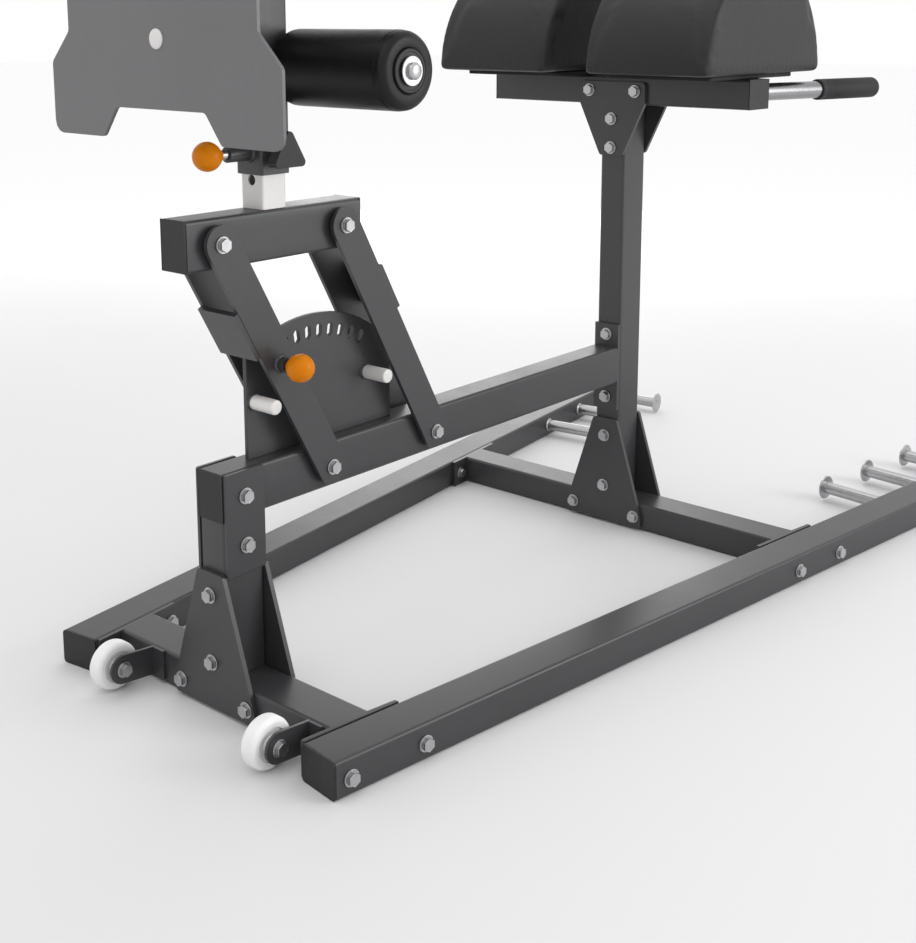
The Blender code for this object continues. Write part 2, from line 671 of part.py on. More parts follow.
def build_arms(name, pivot, steel, brace_side):
    """Build one pair of arm bars, joined by a brace plate on their front or rear edges."""
    bm = bmesh.new()
    prism(bm, arm_outline(), -ARM_OUTER_Y, -ARM_INNER_Y, 'Y')
    arms = add_piece(name, bm, steel, pivot, world_location(pivot))
    edge = brace_side * (ARM_HALF_WIDTH - 0.001)
    face = brace_side * (ARM_HALF_WIDTH + PLATE)
    corners = ((BRACE_START, edge), (BRACE_END, edge), (BRACE_END, face), (BRACE_START, face))
    brace = bmesh.new()
    prism(brace, [arm_point(*corner) for corner in corners], -ARM_OUTER_Y + 0.001, ARM_OUTER_Y - 0.001, 'Y')
    add_tool(arms, f"{name}_brace", brace, 'UNION')
    far_bar = bmesh.new()
    prism(far_bar, arm_outline(), ARM_INNER_Y, ARM_OUTER_Y, 'Y')
    add_tool(arms, f"{name}_far_bar", far_bar, 'UNION')
    bores = bmesh.new()
    for along in (0.0, ARM_LENGTH):
        x, z = arm_point(along, 0)
        rod(bores, PIVOT_BORE, (x, -TUBE_SHORT, z), (x, TUBE_SHORT, z), SMALL_SEGMENTS)
    add_tool(arms, f"{name}_bores", bores, 'DIFFERENCE')
    return arms


def build_pivot_bolt(name, parent, at, zinc):
    """Build a through bolt with its head, nut and washers."""
    washer_face = ARM_OUTER_Y + GAP
    head_face = washer_face + WASHER
    end = head_face + BOLT_HEAD
    half = [(PIVOT_BOLT_RADIUS, washer_face), (WASHER_RADIUS, washer_face), (WASHER_RADIUS, head_face),
            (BOLT_HEAD_RADIUS, head_face), (BOLT_HEAD_RADIUS, end), (0, end)]
    bm = bmesh.new()
    turned(bm, [(radius, -along) for radius, along in reversed(half)] + half, (0, 1, 0), SMALL_SEGMENTS)
    add_piece(name, bm, zinc, parent, at)


def build_arm_pin(arms, front_pivot, orange):
    """Weld a pin housing to the near front arm and build its ball-handled plunger."""
    x, z = arm_point(SLOT_RADIUS, 0)
    housing_end = ARM_OUTER_Y + ARM_HOUSING
    housing = bmesh.new()
    rod(housing, HOUSING_RADIUS, (x, -ARM_INNER_Y - 0.001, z), (x, -housing_end, z), SMALL_SEGMENTS)
    add_tool(arms, "front_arms_pin_housing", housing, 'UNION')
    bore = bmesh.new()
    rod(bore, HOUSING_BORE, (x, 0, z), (x, -housing_end - 0.01, z), SMALL_SEGMENTS)
    add_tool(arms, "front_arms_pin_bore", bore, 'DIFFERENCE')
    at = world_location(front_pivot) + Vector((x, ARM_BALL_Y, z))
    pivot = make_pivot("arm_pin_slide", at, front_pivot)
    tip = -ARM_BALL_Y - PLATE / 2 - 2 * GAP
    bm = bmesh.new()
    turned(bm, plunger_profile(-ARM_BALL_Y - housing_end - GAP, tip), (0, 1, 0), SMALL_SEGMENTS)
    add_piece("arm_pin", bm, orange, pivot, at)


def plunger_profile(neck, tip):
    """Return a plunger's profile from its ball's middle: ball, collar up to the neck, then the pin."""
    angles = [math.radians(158) * step / 7 for step in range(1, 8)]
    ball = [(BALL_RADIUS * math.sin(a), -BALL_RADIUS * math.cos(a)) for a in angles]
    pin = [(PIN_COLLAR_RADIUS, neck), (PIN_RADIUS, neck), (PIN_RADIUS, tip), (0, tip)]
    return [(0, -BALL_RADIUS)] + ball + pin


# ----------------------------------------------------------------------------------------------------
# Top bar, post and foot-plate carriage
# ----------------------------------------------------------------------------------------------------

def build_top_bar(head, steel, zinc, front_top, rear_top):
    """Build the bar that the four arm bars carry, with its bosses, and the post that stands on it."""
    start = rear_top.x + TOP_BAR_REAR_REACH - TOP_BAR_LENGTH
    bm = bmesh.new()
    hollow(bm, TUBE_SHORT / 2, TUBE_LONG / 2, TUBE_WALL, 0, TOP_BAR_LENGTH, 'X')
    bar = add_piece("top_bar", bm, steel, head, (start, 0, front_top.z))
    add_bosses(bar, [front_top.x - start, rear_top.x - start])
    bottom = front_top.z + TUBE_LONG / 2 + GAP
    bm = bmesh.new()
    hollow(bm, POST / 2, POST / 2, TUBE_WALL, 0, POST_TOP - bottom, 'Z', POST_CORNER)
    post = add_piece("index_post", bm, zinc, head, (POST_X, 0, bottom))
    holes = bmesh.new()
    for number in range(POST_HOLES):
        z = POST_HOLE_Z + number * POST_HOLE_PITCH - bottom
        rod(holes, POST_HOLE_RADIUS, (-POST, 0, z), (0, 0, z), SMALL_SEGMENTS)
    add_tool(post, "index_post_holes", holes, 'DIFFERENCE')


def build_sleeve(carriage, steel):
    """Build the sleeve that slides on the post, with the housings for its pull pin and clamp knob."""
    half = SLEEVE / 2
    bm = bmesh.new()
    hollow(bm, half, half, SLEEVE_WALL, SLEEVE_BOTTOM - SLEEVE_PIN_Z, SLEEVE_TOP - SLEEVE_PIN_Z, 'Z',
           SLEEVE_CORNER)
    sleeve = add_piece("sleeve", bm, steel, carriage, (POST_X, 0, SLEEVE_PIN_Z))
    pin_end = -half - SLEEVE_HOUSING
    knob_end = -half - KNOB_BOSS
    housings = bmesh.new()
    rod(housings, HOUSING_RADIUS, (0.002 - half, 0, 0), (pin_end, 0, 0), SMALL_SEGMENTS)
    rod(housings, KNOB_BOSS_RADIUS, (0, 0.002 - half, 0), (0, knob_end, 0), SMALL_SEGMENTS)
    add_tool(sleeve, "sleeve_housings", housings, 'UNION')
    bores = bmesh.new()
    rod(bores, HOUSING_BORE, (pin_end - 0.01, 0, 0), (-POST / 4, 0, 0), SMALL_SEGMENTS)
    rod(bores, STUD_RADIUS + GAP, (0, knob_end - 0.01, 0), (0, -POST / 4, 0), SMALL_SEGMENTS)
    add_tool(sleeve, "sleeve_bores", bores, 'DIFFERENCE')


def build_sleeve_pin(carriage, orange):
    """Build the sleeve's pull pin, which reaches to the post's front face."""
    at = Vector((SLEEVE_BALL_X, 0, SLEEVE_PIN_Z))
    pivot = make_pivot("sleeve_pin_slide", at, carriage)
    tip = POST_X - POST / 2 - GAP - SLEEVE_BALL_X
    neck = POST_X - SLEEVE / 2 - SLEEVE_HOUSING - GAP - SLEEVE_BALL_X
    bm = bmesh.new()
    turned(bm, plunger_profile(neck, tip), (1, 0, 0), SMALL_SEGMENTS)
    add_piece("sleeve_pin", bm, orange, pivot, at)


def build_clamp_knob(carriage, plastic):
    """Build the three-lobed knob whose stud bears on the post's near face."""
    at = Vector((POST_X, -SLEEVE / 2 - KNOB_BOSS - GAP, SLEEVE_PIN_Z))
    pivot = make_pivot("clamp_knob_axis", at, carriage)
    corners = [(KNOB_LOBE_RADIUS * math.cos(a), KNOB_LOBE_RADIUS * math.sin(a))
               for a in (math.pi / 2 + math.tau * lobe / 3 for lobe in range(3))]
    hub = 0.004
    bm = bmesh.new()
    prism(bm, rounded_outline(corners, 0.007, 4), -hub - KNOB_THICKNESS, -hub, 'Y')
    knob = add_piece("clamp_knob", bm, plastic, pivot, at)
    reach = (SLEEVE - POST) / 2 + KNOB_BOSS
    profile = [(0, -hub - 0.006), (0.011, -hub - 0.006), (0.011, 0), (STUD_RADIUS, 0), (STUD_RADIUS, reach),
               (0, reach)]
    stud = bmesh.new()
    turned(stud, profile, (0, 1, 0), SMALL_SEGMENTS)
    add_tool(knob, "clamp_knob_stud", stud, 'UNION')


def foot_plate_outline():
    """Return the plate's outline in (y, z): a notch between two feet and a waist, alike above and below."""
    quarter = [(0.103, -0.165), (0.138, -0.211), (0.265, -0.211), (0.265, -0.100), (0.218, -0.053)]
    rounding = [0.010, 0.010, 0.020, 0.012, 0.012]
    right = quarter + [(y, -z) for y, z in reversed(quarter)]
    half_rounding = rounding + rounding[::-1]
    return rounded_outline(right + [(-y, z) for y, z in reversed(right)], half_rounding * 2)


def build_foot_plate(carriage, steel, grey):
    """Build the foot plate and the bracket that carries it in front of the sleeve."""
    bm = bmesh.new()
    prism(bm, foot_plate_outline(), 0, FOOT_PLATE_THICKNESS, 'X')
    add_piece("foot_plate", bm, grey, carriage, (FOOT_PLATE_X, 0, FOOT_PLATE_MID_Z))
    strap_x = FOOT_PLATE_X + FOOT_PLATE_THICKNESS + GAP
    reach = POST_X - SLEEVE / 2 - GAP - strap_x
    bm = bmesh.new()
    box(bm, (0, -SLEEVE / 2, -STRAP_HALF_HEIGHT), (PLATE, SLEEVE / 2, STRAP_HALF_HEIGHT))
    bracket = add_piece("foot_plate_bracket", bm, steel, carriage, (strap_x, 0, FOOT_PLATE_MID_Z))
    for level, sign in (("lower", -1), ("upper", 1)):
        standoff = bmesh.new()
        hollow(standoff, STANDOFF / 2, STANDOFF / 2, TUBE_WALL, PLATE / 2, reach, 'X', POST_CORNER)
        bmesh.ops.translate(standoff, verts=standoff.verts, vec=(0, 0, sign * STANDOFF_OFFSET))
        add_tool(bracket, f"foot_plate_bracket_{level}", standoff, 'UNION')


def build_rollers(carriage, zinc, foam):
    """Build the two roller axles behind the sleeve and a foam roller on each of their ends."""
    for level, sign_z in (("lower", -1), ("upper", 1)):
        z = FOOT_PLATE_MID_Z + sign_z * ROLLER_OFFSET
        bm = bmesh.new()
        turned(bm, axle_profile(), (0, 1, 0), SMALL_SEGMENTS)
        add_piece(f"roller_axle_{level}", bm, zinc, carriage, (ROLLER_X, 0, z))
        for side, sign in SIDES.items():
            at = (ROLLER_X, sign * ROLLER_INNER_Y, z)
            pivot = make_pivot(f"roller_{level}_{side}_axis", at, carriage)
            bm = bmesh.new()
            turned(bm, roller_profile(), (0, sign, 0))
            add_piece(f"roller_{level}_{side}", bm, foam, pivot, at)


def axle_profile():
    """Return a roller axle's profile, with a washer and a bolt head at each end."""
    face = ROLLER_OUTER_Y + 0.001
    half = [(AXLE_RADIUS, face), (0.022, face), (0.022, face + 0.003), (0.013, face + 0.003),
            (0.013, face + 0.012), (0, face + 0.012)]
    return [(radius, -along) for radius, along in reversed(half)] + half


def roller_profile():
    """Return a roller's profile from its inner end: a bored cylinder with rounded ends."""
    length = ROLLER_OUTER_Y - ROLLER_INNER_Y
    inner_edge, outer_edge = 0.008, 0.016
    inner = arc(inner_edge, math.pi, math.pi / 2, 2, (inner_edge, ROLLER_RADIUS - inner_edge))
    outer = arc(outer_edge, math.pi / 2, 0, 3, (length - outer_edge, ROLLER_RADIUS - outer_edge))
    skin = [(radius, along) for along, radius in inner + outer]
    return [(ROLLER_BORE, 0)] + skin + [(ROLLER_BORE, length)]


# ----------------------------------------------------------------------------------------------------
# Assembly
# ----------------------------------------------------------------------------------------------------

def build_linkage(base, steel, zinc, orange):
    """Build both arm pairs, their pivot bolts and the top bar, and return the top bar's pivot."""
    front_foot = Vector((FRONT_PIVOT_X, 0, PIVOT_Z))
    rear_foot = Vector((REAR_PIVOT_X, 0, PIVOT_Z))
    front_pivot = make_pivot("front_arms_pivot", front_foot, base)
    rear_pivot = make_pivot("rear_arms_pivot", rear_foot, base)
    front_arms = build_arms("front_arms", front_pivot, steel, 1)
    build_arms("rear_arms", rear_pivot, steel, -1)
    build_arm_pin(front_arms, front_pivot, orange)
    build_pivot_bolt("pivot_bolt_front_lower", base, front_foot, zinc)
    build_pivot_bolt("pivot_bolt_rear_lower", base, rear_foot, zinc)
    x, z = arm_point(ARM_LENGTH, 0)
    rise = Vector((x, 0, z))
    head = make_pivot("top_bar_pivot", front_foot + rise, front_pivot)
    build_pivot_bolt("pivot_bolt_front_upper", head, front_foot + rise, zinc)
    build_pivot_bolt("pivot_bolt_rear_upper", head, rear_foot + rise, zinc)
    build_top_bar(head, steel, zinc, front_foot + rise, rear_foot + rise)
    return head


def main():
    """Build every piece of the machine."""
    clear_scene()
    steel = make_material("powder_coated_steel", (0.075, 0.075, 0.080), 0.45)
    grey = make_material("grey_plate", (0.16, 0.16, 0.165), 0.45)
    zinc = make_material("zinc_plated_steel", (0.72, 0.71, 0.69), 0.30, 0.9)
    plastic = make_material("black_plastic", (0.035, 0.035, 0.037), 0.50)
    rubber = make_material("black_rubber", (0.030, 0.030, 0.032), 0.80)
    foam = make_material("black_foam", (0.020, 0.020, 0.021), 0.70)
    vinyl = make_material("dark_vinyl", (0.045, 0.044, 0.047), 0.55)
    wood = make_material("painted_board", (0.030, 0.030, 0.032), 0.70)
    orange = make_material("orange_knob", (0.68, 0.22, 0.006), 0.40)
    white = make_material("white_wheel", (0.85, 0.85, 0.85), 0.45)

    base = make_pivot("base", (0, 0, 0))
    build_rails(base, steel, plastic, zinc)
    build_crossmembers(base, steel)
    build_uprights(base, steel)
    build_gussets(base, steel)
    build_saddles(base, steel)
    build_main_beam(base, steel)
    build_sector(base, steel)
    build_hip_rest(base, steel, wood, vinyl)
    build_handles(base, zinc, rubber)
    build_wheels(base, steel, white)
    head = build_linkage(base, steel, zinc, orange)
    carriage = make_pivot("carriage_slide", (POST_X, 0, SLEEVE_PIN_Z), head)
    build_sleeve(carriage, steel)
    build_sleeve_pin(carriage, orange)
    build_clamp_knob(carriage, plastic)
    build_foot_plate(carriage, steel, grey)
    build_rollers(carriage, zinc, foam)


main()
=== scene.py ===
"""The looks of a roman chair: finishes, padded rollers and hip pads, turned hardware and fasteners.

Every length is in metres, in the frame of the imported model: +Z up, +X to the rear, -Y the near side.
"""

import json
import logging
import math
from collections.abc import Callable, Sequence
from dataclasses import dataclass, field
from enum import Enum

import bpy
import numpy as np
from mathutils import Matrix, Vector


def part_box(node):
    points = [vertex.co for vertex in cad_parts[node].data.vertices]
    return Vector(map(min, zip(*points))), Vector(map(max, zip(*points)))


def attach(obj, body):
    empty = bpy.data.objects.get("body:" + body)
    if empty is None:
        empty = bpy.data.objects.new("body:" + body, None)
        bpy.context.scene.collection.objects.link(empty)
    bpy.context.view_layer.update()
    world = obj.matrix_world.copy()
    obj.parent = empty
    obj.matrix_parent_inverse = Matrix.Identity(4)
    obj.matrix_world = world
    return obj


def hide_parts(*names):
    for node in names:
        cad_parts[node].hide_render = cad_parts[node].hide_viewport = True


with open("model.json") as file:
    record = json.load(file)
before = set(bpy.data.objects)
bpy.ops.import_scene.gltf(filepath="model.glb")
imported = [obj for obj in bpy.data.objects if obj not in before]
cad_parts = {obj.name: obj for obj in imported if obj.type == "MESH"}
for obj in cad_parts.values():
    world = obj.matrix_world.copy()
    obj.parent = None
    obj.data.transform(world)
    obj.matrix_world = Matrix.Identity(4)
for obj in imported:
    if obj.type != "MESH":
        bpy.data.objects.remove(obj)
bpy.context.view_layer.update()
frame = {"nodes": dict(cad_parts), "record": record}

SIDES = {"near": -1, "far": 1}
RAIL_SPLAY = math.radians(7.7)          # between each base rail and the centre line
BEARING_GAP = 0.0002                    # under every piece that bears on another
LOG = logging.getLogger("roman_chair")

Profile = Sequence[tuple[float, float]]
Triple = tuple[float, float, float]


def deselect() -> None:
    """Deselect everything."""
    for other in bpy.context.selected_objects:
        other.select_set(False)


def link(name: str, data: bpy.types.ID) -> bpy.types.Object:
    """Make an object from a mesh, lamp or camera and put it in the scene."""
    made = bpy.data.objects.new(name, data)
    bpy.context.scene.collection.objects.link(made)
    return made


def middle_of(box: tuple[Vector, Vector]) -> Vector:
    """Return the middle of a box."""
    return (box[0] + box[1]) / 2


def arc(radius: float, centre: tuple[float, float], start: float, end: float,
        steps: int = 4) -> list[tuple[float, float]]:
    """Return an arc of a profile.

    Args:
        radius: the arc's radius.
        centre: its centre, as (radius, along).
        start: the angle it starts at, in degrees.
        end: the angle it ends at.
        steps: chords in the arc.

    Returns:
        The points, both ends included.
    """
    angles = [math.radians(start + (end - start) * step / steps) for step in range(steps + 1)]
    return [(centre[0] + radius * math.cos(a), centre[1] + radius * math.sin(a)) for a in angles]


# --- Finishes ---

class Pattern(Enum):
    """The surface textures that the finishes are made from."""

    POWDER = "powder_coat"
    BRUSHED = "drawn_metal"
    GRAIN = "leather_grain"
    CELLS = "foam_skin"
    MOULDED = "moulded_skin"


@dataclass
class NodeSheet:
    """A node tree being wired, from texture to output."""

    tree: bpy.types.NodeTree

    def add(self, kind: str, inputs: dict | None = None, **settings: object) -> bpy.types.Node:
        """Add a node.

        Args:
            kind: the node's type, without its ShaderNode prefix.
            inputs: socket name or number to a value, or to the socket that feeds it.
            **settings: the node's own properties.

        Returns:
            The new node.
        """
        node = self.tree.nodes.new(kind if kind.startswith("NodeGroup") else f"ShaderNode{kind}")
        for name, value in settings.items():
            setattr(node, name, value)
        for name, value in (inputs or {}).items():
            if isinstance(value, bpy.types.NodeSocket):
                self.tree.links.new(value, node.inputs[name])
            else:
                node.inputs[name].default_value = value
        return node


@dataclass
class PatternLibrary:
    """Builds each surface texture once, as a node group with Height and Tone outputs."""

    groups: dict[Pattern, bpy.types.NodeTree] = field(default_factory=dict)

    def get(self, pattern: Pattern) -> bpy.types.NodeTree:
        """Return a pattern's node group, building it the first time."""
        if pattern not in self.groups:
            self.groups[pattern] = self._build(pattern)
        return self.groups[pattern]

    def _build(self, pattern: Pattern) -> bpy.types.NodeTree:
        """Build a group whose Height is the fine relief and whose Tone drifts slowly over the surface.

        Args:
            pattern: the texture to build.

        Returns:
            The node group.
        """
        group = bpy.data.node_groups.new(pattern.value, "ShaderNodeTree")
        for name, kind in (("Vector", "NodeSocketVector"), ("Scale", "NodeSocketFloat")):
            group.interface.new_socket(name, in_out="INPUT", socket_type=kind)
        for name in ("Height", "Tone"):
            group.interface.new_socket(name, in_out="OUTPUT", socket_type="NodeSocketFloat")
        sheet = NodeSheet(group)
        source = sheet.add("NodeGroupInput")
        place, scale = source.outputs["Vector"], source.outputs["Scale"]
        height = self._relief(sheet, pattern, place, scale)
        cloud = sheet.add("TexNoise", {"Vector": place, "Scale": 5.0, "Detail": 5.0, "Roughness": 0.6})
        speck = sheet.add("TexNoise", {"Vector": place, "Scale": 90.0, "Detail": 2.0})
        both = sheet.add("Mix", {0: 0.35, 2: cloud.outputs[0], 3: speck.outputs[0]}, data_type="FLOAT")
        tone = sheet.add("MapRange", {0: both.outputs[0], 1: 0.32, 2: 0.68})
        sheet.add("NodeGroupOutput", {"Height": height, "Tone": tone.outputs[0]})
        return group

    def _relief(self, sheet: NodeSheet, pattern: Pattern, place: bpy.types.NodeSocket,
                scale: bpy.types.NodeSocket) -> bpy.types.NodeSocket:
        """Wire one pattern's fine relief.

        Args:
            sheet: the group being wired.
            pattern: the texture to wire.
            place: the coordinates.
            scale: how many features there are in a metre.

        Returns:
            The socket that gives the height.
        """
        if pattern is Pattern.BRUSHED:
            drawn = sheet.add("Mapping", {"Vector": place, "Scale": (1.0, 0.06, 1.0)})
            noise = sheet.add("TexNoise", {"Vector": drawn.outputs[0], "Scale": scale, "Detail": 3.0})
            return noise.outputs[0]
        if pattern in (Pattern.GRAIN, Pattern.CELLS):
            warp = sheet.add("TexNoise", {"Vector": place, "Scale": 60.0, "Detail": 2.0})
            bent = sheet.add("Mix", {0: 0.012, 4: place, 5: warp.outputs["Color"]}, data_type="VECTOR")
            feature = "DISTANCE_TO_EDGE" if pattern is Pattern.GRAIN else "F1"
            cells = sheet.add("TexVoronoi", {"Vector": bent.outputs[1], "Scale": scale}, feature=feature)
            top = 0.22 if pattern is Pattern.GRAIN else 0.75
            ramp = sheet.add("MapRange", {0: cells.outputs["Distance"], 1: 0.0, 2: top},
                             interpolation_type="SMOOTHSTEP")
            return ramp.outputs[0]
        detail = 3.0 if pattern is Pattern.POWDER else 1.0
        return sheet.add("TexNoise", {"Vector": place, "Scale": scale, "Detail": detail}).outputs[0]


@dataclass(frozen=True)
class Finish:
    """One surface finish: a colour that drifts in tone, an uneven gloss and a fine relief.

    Attributes:
        name: the material's name.
        color: the middle colour, linear.
        drift: how far the tone goes each way, as a share of the colour.
        roughness: the middle roughness.
        uneven: how far the roughness goes each way.
        pattern: the texture of the relief.
        scale: how many of the pattern's features there are in a metre.
        relief: the height of the relief.
        metallic: 1 for bare metal.
        specular: the shader's specular level.
    """

    name: str
    color: Triple
    drift: float
    roughness: float
    uneven: float
    pattern: Pattern
    scale: float
    relief: float
    metallic: float = 0.0
    specular: float = 0.5

    def build(self, library: PatternLibrary) -> bpy.types.Material:
        """Make the material.

        Args:
            library: where the pattern groups come from.

        Returns:
            The new material.
        """
        material = bpy.data.materials.new(self.name)
        material.use_nodes = True
        shader = material.node_tree.nodes["Principled BSDF"]
        sheet = NodeSheet(material.node_tree)
        where = sheet.add("TexCoord")
        texture = sheet.add("Group", node_tree=library.get(self.pattern))
        sheet.tree.links.new(where.outputs["Object"], texture.inputs["Vector"])
        texture.inputs["Scale"].default_value = self.scale
        height, tone = texture.outputs["Height"], texture.outputs["Tone"]
        dark = tuple(channel * (1 - self.drift) for channel in self.color) + (1.0,)
        light = tuple(min(channel * (1 + self.drift), 1.0) for channel in self.color) + (1.0,)
        tint = sheet.add("Mix", {0: tone, 6: dark, 7: light}, data_type="RGBA")
        gloss = sheet.add("MapRange", {0: tone, 3: self.roughness - self.uneven,
                                       4: self.roughness + self.uneven})
        bump = sheet.add("Bump", {"Height": height, "Distance": self.relief, "Strength": 0.8})
        sheet.tree.links.new(tint.outputs[2], shader.inputs["Base Color"])
        sheet.tree.links.new(gloss.outputs[0], shader.inputs["Roughness"])
        sheet.tree.links.new(bump.outputs[0], shader.inputs["Normal"])
        shader.inputs["Metallic"].default_value = self.metallic
        shader.inputs["Specular IOR Level"].default_value = self.specular
        return material


FINISHES = {
    "frame_paint": Finish("charcoal_powder_coat", (0.036, 0.036, 0.0385), 0.10, 0.35, 0.05,
                          Pattern.POWDER, 650.0, 0.00009),
    "grey_plate": Finish("grey_powder_coat", (0.122, 0.122, 0.126), 0.07, 0.42, 0.06,
                         Pattern.POWDER, 650.0, 0.00009),
    "light_post": Finish("light_zinc_post", (0.66, 0.645, 0.63), 0.05, 0.38, 0.08,
                         Pattern.POWDER, 240.0, 0.00003, metallic=0.10),
    "zinc_steel": Finish("zinc_plated_steel", (0.47, 0.47, 0.475), 0.10, 0.33, 0.08,
                         Pattern.BRUSHED, 500.0, 0.00003, metallic=1.0),
    "chrome_tube": Finish("satin_chrome", (0.27, 0.27, 0.28), 0.05, 0.28, 0.05,
                          Pattern.BRUSHED, 900.0, 0.00001, metallic=1.0),
    "black_plastic": Finish("black_plastic", (0.010, 0.010, 0.011), 0.15, 0.48, 0.08,
                            Pattern.MOULDED, 900.0, 0.00006, specular=0.42),
    "grip_rubber": Finish("grip_rubber", (0.011, 0.011, 0.012), 0.15, 0.66, 0.08,
                          Pattern.CELLS, 900.0, 0.00018, specular=0.40),
    "roller_foam": Finish("roller_vinyl", (0.005, 0.005, 0.0054), 0.15, 0.38, 0.07,
                          Pattern.GRAIN, 520.0, 0.00008, specular=0.24),
    "pad_vinyl": Finish("pad_vinyl", (0.0135, 0.0132, 0.0142), 0.12, 0.48, 0.06,
                        Pattern.GRAIN, 420.0, 0.00014, specular=0.34),
    "pad_board": Finish("painted_board", (0.010, 0.010, 0.011), 0.20, 0.60, 0.10,
                        Pattern.BRUSHED, 180.0, 0.00020, specular=0.30),
    "orange_plastic": Finish("orange_plastic", (0.60, 0.178, 0.0006), 0.06, 0.30, 0.05,
                             Pattern.MOULDED, 300.0, 0.00004, specular=0.12),
    "white_wheel": Finish("white_plastic", (0.80, 0.80, 0.80), 0.04, 0.42, 0.06,
                          Pattern.MOULDED, 500.0, 0.00008),
}


class Paintshop:
    """Holds one material for each slot of the record."""

    def __init__(self) -> None:
        """Build every finish."""
        library = PatternLibrary()
        self.materials = {slot: finish.build(library) for slot, finish in FINISHES.items()}

    def dress(self, piece: bpy.types.Object, slot: str) -> None:
        """Give a new piece a slot's material.

        Args:
            piece: the piece.
            slot: the record's material slot.
        """
        piece.data.materials.clear()
        piece.data.materials.append(self.materials[slot])


# --- Modelling moves ---

